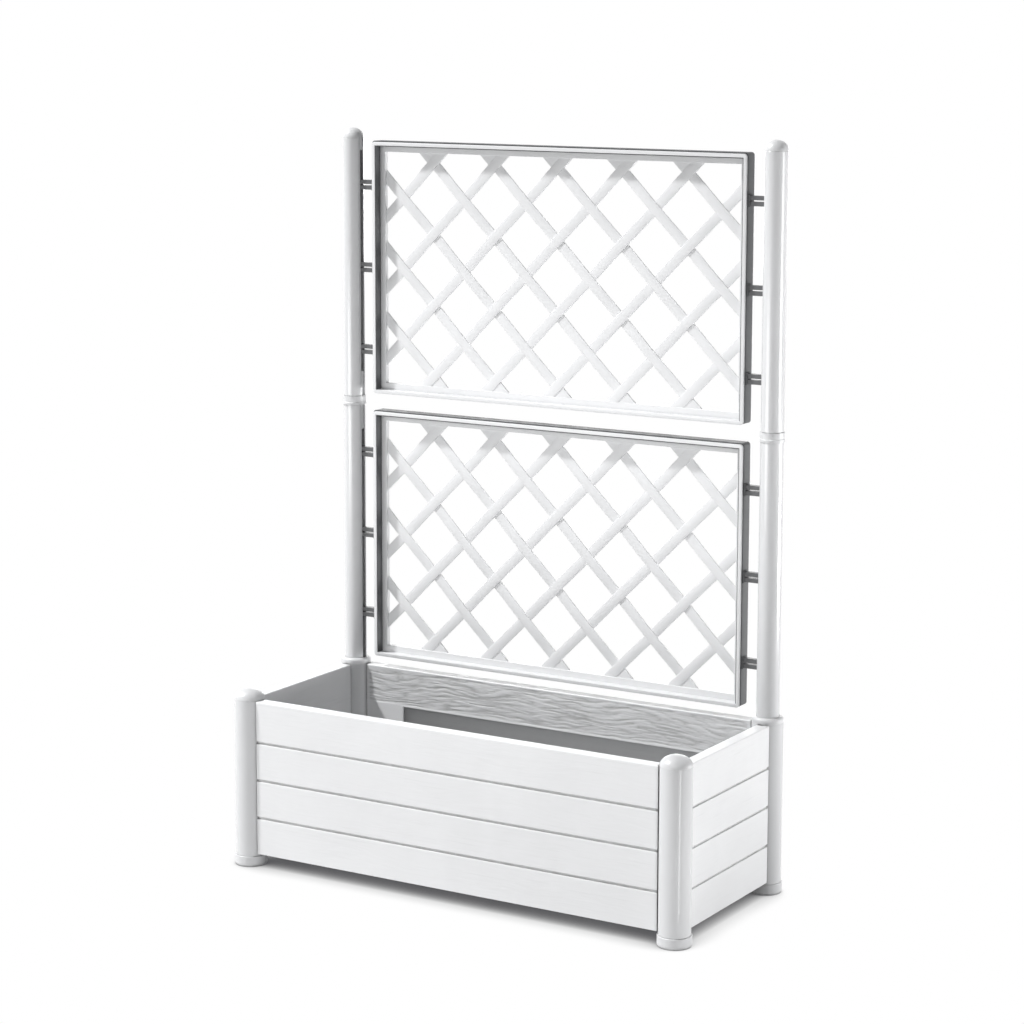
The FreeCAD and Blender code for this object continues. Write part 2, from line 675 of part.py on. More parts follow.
# Screen
for hand_name, hand_side in (("left", -1), ("right", 1)):
    upright(f"lower_{hand_name}_upright", hand_side, upright_foot, joiner_bottom)
    joiner(f"{hand_name}_joiner", hand_side)
    upright(f"upper_{hand_name}_upright", hand_side, upper_upright_bottom, upright_top)
    dome(f"{hand_name}_top_cap", upright_radius, size.top_cap_height, upright_bore - size.fit_clearance,
         size.top_cap_spigot_length, post_x * hand_side, post_y, upright_top)
peg = peg_master()
for storey, storey_middle in (("lower", lower_trellis_middle), ("upper", upper_trellis_middle)):
    trellis(f"{storey}_trellis", storey_middle)
    edge_strip(f"{storey}_edge_strip", storey_middle)
    peg_group(f"{storey}_pegs", peg, storey_middle)

doc.recompute()

# Every object has to be sound before anything is written
for thing in doc.Objects:
    if "Invalid" in thing.State or "Error" in thing.State:
        raise RuntimeError(f"{thing.Label} failed: {thing.State}")
for thing in pieces:
    if thing.Shape.isNull() or not thing.Shape.isValid():
        raise RuntimeError(f"{thing.Label} has no sound shape")

os.makedirs("parts", exist_ok=True)
for thing in pieces:
    thing.Shape.exportStep(f"parts/{thing.Label}.step")
    print(f"{thing.Label}: {len(thing.Shape.Solids)} solids, {thing.Shape.Volume:.0f} cubic mm")
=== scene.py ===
import math

import bmesh
import bpy
from bpy.props import FloatProperty, FloatVectorProperty, PointerProperty
from mathutils import Matrix, Vector, noise


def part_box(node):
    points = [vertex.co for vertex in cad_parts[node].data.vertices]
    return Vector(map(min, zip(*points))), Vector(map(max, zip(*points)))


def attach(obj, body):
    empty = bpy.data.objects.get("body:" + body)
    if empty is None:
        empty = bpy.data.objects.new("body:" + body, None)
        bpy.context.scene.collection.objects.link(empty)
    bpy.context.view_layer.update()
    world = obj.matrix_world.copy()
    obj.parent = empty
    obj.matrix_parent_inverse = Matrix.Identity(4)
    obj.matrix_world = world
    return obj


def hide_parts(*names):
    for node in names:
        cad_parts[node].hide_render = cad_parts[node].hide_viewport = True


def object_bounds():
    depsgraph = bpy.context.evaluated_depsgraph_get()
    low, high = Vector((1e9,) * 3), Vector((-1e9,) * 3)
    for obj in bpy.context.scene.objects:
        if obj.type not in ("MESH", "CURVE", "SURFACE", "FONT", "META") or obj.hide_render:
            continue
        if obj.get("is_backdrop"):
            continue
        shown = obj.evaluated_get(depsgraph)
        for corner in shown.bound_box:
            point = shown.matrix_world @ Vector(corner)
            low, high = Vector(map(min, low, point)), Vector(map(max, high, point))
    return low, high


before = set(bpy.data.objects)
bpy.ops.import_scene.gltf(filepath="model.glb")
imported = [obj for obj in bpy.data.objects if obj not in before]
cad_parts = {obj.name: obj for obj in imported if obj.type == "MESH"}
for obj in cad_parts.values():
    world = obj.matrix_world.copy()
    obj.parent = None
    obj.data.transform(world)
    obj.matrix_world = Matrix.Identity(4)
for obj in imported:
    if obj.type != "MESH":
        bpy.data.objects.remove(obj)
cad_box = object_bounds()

bl_info = {
    "name": "Planter with Privacy Screen",
    "version": (1, 0, 0),
    "blender": (4, 5, 0),
    "location": "View3D > Sidebar > Planter",
    "description": "Dresses a white moulded planter box and the lattice screen that stands on its rear posts",
    "category": "Object",
}


def length(name, default, description):
    """A length property in metres."""
    return FloatProperty(name=name, description=description, default=default, min=0, unit="LENGTH", precision=4)


def share(name, default, description):
    """A property from 0 to 1."""
    return FloatProperty(name=name, description=description, default=default, min=0, max=1, subtype="FACTOR")


def colour(name, default, description):
    """A colour property in linear values."""
    return FloatVectorProperty(name=name, description=description, default=default, size=3, min=0, max=1,
                               subtype="COLOR")


def power(name, default, description):
    """The power of a lamp in watts."""
    return FloatProperty(name=name, description=description, default=default, min=0, unit="POWER")


class PLANTER_PG_panels(bpy.types.PropertyGroup):
    """Sizes of the four box panels."""

    thickness: length("Thickness", 0.025, "From the boards' face to the inner face")
    skin: length("Skin", 0.0035, "Wall of the hollow panel")
    top_round: length("Top Round", 0.002, "Rounding along the top rim")
    arris: length("Arris", 0.0009, "Softening of the other edges")
    end_gap: length("End Gap", 0.002, "Gap between the panel's hollow ends and the posts")
    tongue_reach: length("Tongue Reach", 0.0057, "How far a tongue goes into a post beyond the panel's end")
    tongue_thickness: length("Tongue Thickness", 0.012, "Thickness of the tongues")
    tongue_setback: length("Tongue Setback", 0.017, "From the boards' face to the middle of the tongues")
    lowest_board: length("Lowest Board", 0.073, "Height of the lowest board")
    board_pitch: length("Board Pitch", 0.075, "Distance between the grooves")
    groove_depth: length("Groove Depth", 0.003, "Depth of the grooves")
    groove_half: length("Groove Half Width", 0.003, "Half the width of the grooves between their lips")
    top_board: length("Inner Board", 0.079, "Height of the board along the inner rim")
    bottom_rail: length("Bottom Rail", 0.04, "Height of the rail below the inner recess")
    stile: length("Stile", 0.088, "Width of the stiles beside the inner recess")
    ledge_width: length("Ledge Width", 0.018, "Width of the ledge that carries the floor")
    ledge_height: length("Ledge Height", 0.012, "Height of that ledge")
    notch_half_width: length("Notch Half Width", 0.0303, "Half the width of the notch for the cross bar")
    notch_depth: length("Notch Depth", 0.006, "Depth of that notch")
    inner_grain: length("Inner Grain Depth", 0.0011, "Depth of the moulded wood grain on the inner board")
    outer_grain: length("Outer Grain Depth", 0.00016, "Depth of the moulded wood grain on the outer boards")
    grain_pitch: length("Grain Pitch", 0.0068, "Distance between the lines of the grain")
    # Painted shade: the back of the inner recess is darkened where the rim board's shadow falls
    recess_painted_shade: share("Recess Painted Shade", 0.8, "Painted shade on the back of the inner recess")
    row_step: length("Row Step", 0.0011, "Mesh spacing across the grain")
    column_step: length("Column Step", 0.006, "Mesh spacing along the grain")


class PLANTER_PG_lattice(bpy.types.PropertyGroup):
    """Sizes of the two lattice panels."""

    strip_width: length("Strip Width", 0.02, "Width of a lattice strip")
    strip_thickness: length("Strip Thickness", 0.0034, "Thickness of a lattice strip")
    strip_flat: length("Strip Flat", 0.026, "Straight run of a strip at a crossing")
    strip_lift: length("Strip Lift", 0.0009, "How far a strip leaves the middle plane at a crossing")
    pitch: length("Pitch", 0.1414, "Distance between parallel strips along the frame")
    flange_width: length("Flange Width", 0.007, "Width of the frame's front and rear edges")
    flange_thickness: length("Flange Thickness", 0.004, "Thickness of those edges")
    web_thickness: length("Web Thickness", 0.003, "Wall between the channel and the lattice")
    rail_width: length("Rail Width", 0.02, "From the frame's edge to the inside of its rail")
    rail_thickness: length("Rail Thickness", 0.01, "Thickness of the rail that holds the strips")
    rail_setback: length("Rail Setback", 0.0185, "From the frame's front to the rail")
    corner_round: length("Corner Round", 0.006, "Rounding of the frame's outer corners")
    softness: length("Softness", 0.0008, "Rounding of the moulded edges")


class PLANTER_PG_finish(bpy.types.PropertyGroup):
    """Colours of the plastics."""

    post: colour("Post Plastic", (0.66, 0.665, 0.675), "Smooth white of posts, uprights, caps and feet")
    board: colour("Board Plastic", (0.775, 0.78, 0.79), "White of the grained panels")
    # Painted shade: the floor plates are grey rather than white, which darkens the inside of the box
    base: colour("Floor Shade Plastic", (0.5, 0.503, 0.51), "Grey of the planter's floor, darkened as painted shade inside the box")
    lattice: colour("Lattice Plastic", (0.72, 0.725, 0.735), "White of the lattice and its frame")
    # Painted shade: the edge strips are dark where the frames' channels and sides lie in shade
    edging: colour("Channel Shade", (0.075, 0.078, 0.082), "Dark strip painted as the shade in the lattice frames' channel")
    # Painted shade: the pegs are dark in place of the shade that falls on them
    peg: colour("Peg Shade", (0.1, 0.102, 0.106), "Split pegs darkened as painted shade")
    # Tone of dust, pores and deep grain, and of the painted shade in corners, gaps and the recess
    dirt_and_shade: colour("Shade and Dirt Tone", (0.22, 0.22, 0.215), "Fine dust in seams and pores, and the tone of painted shade in corners, gaps and the recess")
    dirt_and_shade_share: share("Shade and Dirt Tone Share", 0.35, "How much of the dust and painted corner shade shows")


class PLANTER_PG_stage(bpy.types.PropertyGroup):
    """Camera, lamps and floor."""

    camera_place: FloatVectorProperty(name="Camera Place", description="Where the camera stands",
                                      default=(2.7187, -4.4632, 1.6634), size=3, subtype="TRANSLATION",
                                      unit="LENGTH")
    camera_turn: FloatProperty(name="Camera Turn", description="Heading of the camera, left of the depth axis",
                               default=math.radians(31.2026), subtype="ANGLE")
    camera_dip: FloatProperty(name="Camera Dip", description="How far the camera looks down",
                              default=math.radians(8.6261), subtype="ANGLE")
    camera_roll: FloatProperty(name="Camera Roll", description="Roll of the camera",
                               default=math.radians(0.1245), subtype="ANGLE")
    lens: FloatProperty(name="Lens", description="Focal length in millimetres", default=98.74, min=1, unit="CAMERA")
    shift: FloatProperty(name="Shift", description="Vertical shift, in picture widths", default=-0.08)
    ambient: FloatProperty(name="Ambient", description="Strength of the even light", default=0.14, min=0)
    key_power: power("Key Lamp", 800, "Small lamp high on the left that draws the shadows inside the box")
    left_power: power("Left Lamp", 21, "Broad lamp low in front on the left")
    right_power: power("Right Lamp", 42, "Lamp low behind the box on the right")
    upper_power: power("Upper Lamp", 1.5, "Soft lamp on the right for the screen")
    fill_power: power("Fill Lamp", 1.15, "Soft lamp in front of the screen")
    line_power: power("Line Lamp", 0.085, "Narrow upright lamp close to the front right post")
    rear_power: power("Rear Lamp", 42, "Broad lamp behind that brightens the rims")
    floor_half: length("Floor Reach", 9, "Half the width of the floor")
    floor_colour: colour("Floor Colour", (0.8, 0.8, 0.8), "Colour that the floor throws back on the planter")
    shadow_colour: colour("Shadow Colour", (0.1, 0.1, 0.105), "Darkest tone of the floor under the planter")
    shadow_reach: length("Shadow Reach", 0.12, "How far the planter's shadow spreads on the floor")


# Shader node helpers

def put(tree, kind, **settings):
    """A node with its settings and plain input values; input names are written with underscores."""
    node = tree.nodes.new(kind)
    for name, value in settings.items():
        if hasattr(node, name):
            setattr(node, name, value)
        else:
            node.inputs[name.replace("_", " ")].default_value = value
    return node


def calculate(tree, operation, first, second=None, third=None, clamp=False):
    """A Math node on sockets or numbers; gives its output."""
    node = tree.nodes.new("ShaderNodeMath")
    node.operation = operation
    node.use_clamp = clamp
    for socket, term in zip(node.inputs, (first, second, third)):
        if isinstance(term, bpy.types.NodeSocket):
            tree.links.new(term, socket)
        elif term is not None:
            socket.default_value = term
    return node.outputs[0]


def blended(tree, factor, first, second):
    """A colour mix of two sockets or colours; gives its output."""
    node = tree.nodes.new("ShaderNodeMix")
    node.data_type = "RGBA"
    for socket, term in ((node.inputs[0], factor), (node.inputs[6], first), (node.inputs[7], second)):
        if isinstance(term, bpy.types.NodeSocket):
            tree.links.new(term, socket)
        elif isinstance(term, (int, float)):
            socket.default_value = term
        else:
            socket.default_value = (*term[:3], 1)
    return node.outputs[2]


def spread(tree, value, low, high, to_low=0.0, to_high=1.0):
    """A clamped range of a value; gives its output."""
    node = put(tree, "ShaderNodeMapRange", clamp=True)
    tree.links.new(value, node.inputs["Value"])
    for name, number in (("From Min", low), ("From Max", high), ("To Min", to_low), ("To Max", to_high)):
        node.inputs[name].default_value = number
    return node.outputs["Result"]


def new_group(name, inputs, outputs):
    """An empty shader node group with its sockets; gives the tree and its two end nodes."""
    tree = bpy.data.node_groups.new(name, "ShaderNodeTree")
    for label, kind, default in inputs:
        socket = tree.interface.new_socket(label, in_out="INPUT", socket_type=kind)
        socket.default_value = default
    for label, kind in outputs:
        tree.interface.new_socket(label, in_out="OUTPUT", socket_type=kind)
    return tree, tree.nodes.new("NodeGroupInput"), tree.nodes.new("NodeGroupOutput")


def place_group(tree, group):
    """A node that places a shader node group in a material."""
    node = tree.nodes.new("ShaderNodeGroup")
    node.node_tree = group
    return node


# Plastics

CORNER_REACH = 0.012  # how far from a corner its dust and painted shade begin, in metres
CORNER_RANGE = (0.85, 0.45)  # open surface to closed corner
FLOW_RANGE = (0.35, 0.7)  # clean to fully marked
PATCHY_SHADE_AND_DUST = (0.25, 0.6, 0.5, 1.0)  # least and most scuffed, and the share of the dust and painted shade that holds there
SCUFF_RANGE = (0.3, 0.7, -1.0, 1.0)  # least and most scuffed, and the change of roughness there
DUST_ROUGHNESS = 0.35  # what full dust adds to the roughness
FIBRES = ((14.0, 520.0, 3.0), (5.0, 150.0, 4.0))  # fibres and streaks: waves along, waves across, detail
FIBRE_HEIGHT, STREAK_HEIGHT = 0.6, 0.4
PORE_FIBRES, PORE_STREAKS = (0.5, 0.32), (0.45, 0.7)  # where pores begin and are fully open
PORE_SHADE, GRAIN_SHADE = 0.08, 0.5  # how far pores and the deepest grain darken the boards; GRAIN_SHADE also sets how far the painted shade darkens the back of the recess
SEED_PER_METRE = 3.0  # change of the fibres from one face of a panel to the other
GRAIN_AND_SHADE_LAYER = "grain"  # vertex layer that holds how deep the moulded grain is, and on the back of the recess how strong its painted shade is


def moulding_group():
    """Flow marks, dust and a faint orange peel, as every moulded piece has them, with painted shade that darkens
    corners, grooves and gaps along with the dust.
    """
    name = "Moulded Plastic"
    if name in bpy.data.node_groups:
        return bpy.data.node_groups[name]
    tree, start, end = new_group(
        name,
        (("Colour", "NodeSocketColor", (0.8, 0.8, 0.8, 1)), ("Dust", "NodeSocketColor", (0.4, 0.4, 0.4, 1)),
         ("Dust Share", "NodeSocketFloat", 0.3), ("Mottle", "NodeSocketFloat", 0.03),
         ("Roughness", "NodeSocketFloat", 0.35), ("Roughness Spread", "NodeSocketFloat", 0.08),
         ("Peel Scale", "NodeSocketFloat", 300.0)),
        (("Colour", "NodeSocketColor"), ("Roughness", "NodeSocketFloat"), ("Height", "NodeSocketFloat")))
    link = tree.links.new
    place = put(tree, "ShaderNodeTexCoord").outputs["Object"]
    flow = put(tree, "ShaderNodeTexNoise", Scale=7.0, Detail=4.0, Roughness=0.55, Distortion=0.6)
    scuff = put(tree, "ShaderNodeTexNoise", Scale=46.0, Detail=5.0, Roughness=0.65)
    peel = put(tree, "ShaderNodeTexNoise", Detail=2.0, Roughness=0.5)
    for texture in (flow, scuff, peel):
        link(place, texture.inputs["Vector"])
    link(start.outputs["Peel Scale"], peel.inputs["Scale"])
    marked = spread(tree, flow.outputs["Fac"], *FLOW_RANGE)
    darker = calculate(tree, "MULTIPLY", marked, start.outputs["Mottle"])
    toned = put(tree, "ShaderNodeHueSaturation")
    link(start.outputs["Colour"], toned.inputs["Color"])
    link(calculate(tree, "SUBTRACT", 1.0, darker), toned.inputs["Value"])
    # Painted shade with dust: ambient occlusion darkens corners, grooves and the gaps at the posts toward the dirt
    # colour
    corner = put(tree, "ShaderNodeAmbientOcclusion", samples=8, Distance=CORNER_REACH)
    closed = spread(tree, corner.outputs["AO"], *CORNER_RANGE)
    dust = calculate(tree, "MULTIPLY", closed, start.outputs["Dust Share"])
    patchy_shade_and_dust = calculate(tree, "MULTIPLY", dust, spread(tree, scuff.outputs["Fac"], *PATCHY_SHADE_AND_DUST))
    link(blended(tree, patchy_shade_and_dust, toned.outputs["Color"], start.outputs["Dust"]), end.inputs["Colour"])
    worn = calculate(tree, "MULTIPLY", spread(tree, scuff.outputs["Fac"], *SCUFF_RANGE),
                     start.outputs["Roughness Spread"])
    rough = calculate(tree, "ADD", start.outputs["Roughness"], worn)
    dusty = calculate(tree, "MULTIPLY", patchy_shade_and_dust, DUST_ROUGHNESS)
    link(calculate(tree, "ADD", rough, dusty, clamp=True), end.inputs["Roughness"])
    link(peel.outputs["Fac"], end.inputs["Height"])
    return tree


def fibre_group():
    """Fine fibres and pores between the lines of the moulded wood grain."""
    name = "Wood Fibre"
    if name in bpy.data.node_groups:
        return bpy.data.node_groups[name]
    tree, start, end = new_group(
        name,
        (("Along", "NodeSocketFloat", 0.0), ("Across", "NodeSocketFloat", 0.0), ("Seed", "NodeSocketFloat", 0.0)),
        (("Height", "NodeSocketFloat"), ("Pores", "NodeSocketFloat")))
    link = tree.links.new
    textures = []
    for along_scale, across_scale, detail in FIBRES:
        stretched = put(tree, "ShaderNodeCombineXYZ")
        link(calculate(tree, "MULTIPLY", start.outputs["Along"], along_scale), stretched.inputs["X"])
        link(calculate(tree, "MULTIPLY", start.outputs["Across"], across_scale), stretched.inputs["Y"])
        link(start.outputs["Seed"], stretched.inputs["Z"])
        texture = put(tree, "ShaderNodeTexNoise", Scale=1.0, Detail=detail, Roughness=0.6)
        link(stretched.outputs["Vector"], texture.inputs["Vector"])
        textures.append(texture.outputs["Fac"])
    fibre, streak = textures
    heights = [calculate(tree, "MULTIPLY", texture, height)
               for texture, height in ((fibre, FIBRE_HEIGHT), (streak, STREAK_HEIGHT))]
    link(calculate(tree, "ADD", *heights), end.inputs["Height"])
    pores = [spread(tree, texture, *reach) for texture, reach in ((fibre, PORE_FIBRES), (streak, PORE_STREAKS))]
    link(calculate(tree, "MULTIPLY", *pores), end.inputs["Pores"])
    return tree


def plastic(name, body_colour, finish, shade_and_dust_amount=None, mottle=0.03, roughness=0.34, roughness_spread=0.06,
            peel_scale=420.0, peel=0.0, shine=0.5, grain_axis=None):
    """A moulded plastic; shine is the strength of its gloss, grain_axis names the axis of moulded wood fibres."""
    if name in bpy.data.materials:
        return bpy.data.materials[name]
    material = bpy.data.materials.new(name)
    material.use_nodes = True
    tree = material.node_tree
    link = tree.links.new
    shader = tree.nodes["Principled BSDF"]
    moulded = place_group(tree, moulding_group())
    # The share sets how much dust and painted shade darken the corners
    shares = {"Dust Share": finish.dirt_and_shade_share if shade_and_dust_amount is None else shade_and_dust_amount, "Mottle": mottle,
              "Roughness": roughness, "Roughness Spread": roughness_spread, "Peel Scale": peel_scale}
    for label, value in shares.items():
        moulded.inputs[label].default_value = value
    moulded.inputs["Colour"].default_value = (*body_colour, 1)
    moulded.inputs["Dust"].default_value = (*finish.dirt_and_shade, 1)
    surface_colour = moulded.outputs["Colour"]
    if peel:
        bump = put(tree, "ShaderNodeBump", Strength=peel, Distance=0.001)
        link(moulded.outputs["Height"], bump.inputs["Height"])
        link(bump.outputs["Normal"], shader.inputs["Normal"])
    if grain_axis is not None:
        axes = put(tree, "ShaderNodeSeparateXYZ")
        link(put(tree, "ShaderNodeTexCoord").outputs["Object"], axes.inputs["Vector"])
        fibres = place_group(tree, fibre_group())
        side_axis = {"X": "Y", "Y": "X"}[grain_axis]
        link(axes.outputs[grain_axis], fibres.inputs["Along"])
        link(axes.outputs["Z"], fibres.inputs["Across"])
        link(calculate(tree, "MULTIPLY", axes.outputs[side_axis], SEED_PER_METRE), fibres.inputs["Seed"])
        # The grain layer holds the grain's depth, and on the back of the recess its painted shade
        etched = put(tree, "ShaderNodeAttribute", attribute_name=GRAIN_AND_SHADE_LAYER).outputs["Fac"]
        pores = calculate(tree, "MULTIPLY", fibres.outputs["Pores"], PORE_SHADE)
        deepest = calculate(tree, "POWER", etched, 2.0)
        marks = calculate(tree, "MULTIPLY_ADD", deepest, GRAIN_SHADE, pores, clamp=True)
        surface_colour = blended(tree, marks, surface_colour, finish.dirt_and_shade)
        fine = put(tree, "ShaderNodeBump", Strength=0.06, Distance=0.0006)
        link(fibres.outputs["Height"], fine.inputs["Height"])
        link(fine.outputs["Normal"], shader.inputs["Normal"])
    link(surface_colour, shader.inputs["Base Color"])
    link(moulded.outputs["Roughness"], shader.inputs["Roughness"])
    shader.inputs["Specular IOR Level"].default_value = shine
    return material


def post_plastic(finish):
    """The smooth plastic that posts and uprights share."""
    return plastic("post_plastic", finish.post, finish, shade_and_dust_amount=0.12, mottle=0.02, roughness=0.16,
                   roughness_spread=0.02, shine=0.8)


def cap_plastic(finish):
    """The slightly duller plastic of caps, feet, collars and joiners."""
    return plastic("cap_plastic", finish.post, finish, mottle=0.045, roughness=0.36)


# Mesh helpers

SAME_PLACE = 1e-6  # metres within which two points are one
TOUCH = 1e-9  # slack of a comparison, in metres
SHARP_EDGE = math.radians(38)


def dress(nodes, material):
    """Gives CAD nodes that stay in view their finish."""
    for node in nodes:
        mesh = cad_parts[node].data
        mesh.materials.clear()
        mesh.materials.append(material)


def add_piece(name, work, material, body, node):
    """Turns a bmesh into a piece that rides on a body and stands for a CAD node."""
    bmesh.ops.remove_doubles(work, verts=work.verts, dist=SAME_PLACE)
    bmesh.ops.recalc_face_normals(work, faces=work.faces)
    mesh = bpy.data.meshes.new(name)
    work.to_mesh(mesh)
    work.free()
    mesh.materials.append(material)
    mesh.shade_smooth()
    mesh.set_sharp_from_angle(angle=SHARP_EDGE)
    thing = bpy.data.objects.new(name, mesh)
    bpy.context.scene.collection.objects.link(thing)
    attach(thing, body)
    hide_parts(node)


def arc(centre, radius, start, end, steps=4):
    """Points on an arc between two angles in degrees."""
    angles = [math.radians(start + (end - start) * step / steps) for step in range(steps + 1)]
    return [(centre[0] + radius * math.cos(angle), centre[1] + radius * math.sin(angle)) for angle in angles]


def soften(work, faces, width):
    """Rounds all edges of some faces."""
    edges = list({edge for face in faces for edge in face.edges})
    bmesh.ops.bevel(work, geom=edges, offset=width, segments=2, profile=0.5, affect="EDGES")


def ease(value):
    """Smooth step from 0 to 1."""
    value = min(max(value, 0.0), 1.0)
    return value * value * (3 - 2 * value)


def evenly(low, high, step):
    """Values from low to high, both included, at about the given step."""
    count = max(1, math.ceil((high - low) / step))
    return [low + (high - low) * number / count for number in range(count + 1)]


# Box panels

BOARD_COUNT = 4
# Groove as (distance from its middle in half widths, share of its depth)
GROOVE_SHAPE = ((0.0, 1.0), (0.4, 0.97), (0.7, 0.5), (0.9, 0.13), (1.15, 0.03), (1.5, 0.0))
RIB_STEP = 0.0035  # mesh spacing across the rims, in metres
PLAIN_STEP = 0.02  # mesh spacing on plain faces
BARE_EDGE = 0.0022  # edge of a board that has no grain
EDGE_FADE, END_FADE = 0.004, 0.006  # how far from a board's edge and end the grain grows to its depth
FIRST_SEED, PANEL_SEED, BOARD_SEED, INSIDE_SEED = 2.0, 5.3, 3.7, 17.0  # set panels and boards apart

# Ripples of the grain as (waves along, waves across, seed); the broad lines are counted in grain pitches
COARSE, FINE, BROAD = (22, 180, 11), (46, 360, 23), (15, 1, 31)
WANDER = ((0.016, (4.2, 9, 0)), (0.0045, (28, 55, 5)))  # how far the lines wander in metres, and its ripples
KNOT_PITCH = 0.24  # distance of the knots, in metres
KNOT_STAGGER = 0.37  # how far a seed moves the knots, in pitches
KNOT_STRAY = 0.32  # how far a knot strays along the board, in pitches
KNOT_RISE = 0.03  # how far it strays across the board
KNOT_LENGTH, KNOT_HEIGHT = 0.05, 0.016
KNOT_PUSH = 0.013  # how far the lines part round it
STROKE_SHARPNESS = 3.4
GROUND_DEPTH, COARSE_DEPTH, STROKE_DEPTH, FINE_SHARE = 0.3, 0.35, 0.5, 0.7


def ripple(along, across, seed, waves):
    """A noise from -1 to 1 over a board."""
    along_waves, across_waves, step = waves
    return noise.noise((along * along_waves, across * across_waves, seed + step))


def knot_push(along, across, seed):
    """How far the knots nearby push the grain's lines aside; the numbers in its noise only set the knots apart."""
    push = 0.0
    cell = math.floor(along / KNOT_PITCH + seed * KNOT_STAGGER)
    for near in (cell - 1, cell, cell + 1):
        stray = KNOT_STRAY * noise.noise((near * 7.3 + 0.5, seed * 3.1, 1.7))
        knot_along = (near + 0.5 - seed * KNOT_STAGGER + stray) * KNOT_PITCH
        knot_across = KNOT_RISE * noise.noise((near * 5.9 + 0.5, seed * 2.3, 8.2))
        reach = ((along - knot_along) / KNOT_LENGTH) ** 2 + ((across - knot_across) / KNOT_HEIGHT) ** 2
        push += KNOT_PUSH * math.exp(-reach)
    return push


def stroke(value):
    """A thin line where a noise goes through zero."""
    return max(0.0, 1 - STROKE_SHARPNESS * abs(value))


def grain(along, across, seed, pitch):
    """Depth of the moulded wood grain from 0 to 1: lines that wander along the board and part round knots."""
    drift = sum(reach * ripple(along, across, seed, waves) for reach, waves in WANDER)
    level = across + drift + knot_push(along, across, seed)
    strokes = stroke(ripple(along, level / pitch, seed, BROAD)) + FINE_SHARE * stroke(ripple(along, level, seed, FINE))
    depth = GROUND_DEPTH + COARSE_DEPTH * ripple(along, level, seed, COARSE) + STROKE_DEPTH * strokes
    return min(max(depth, 0.0), 1.0)


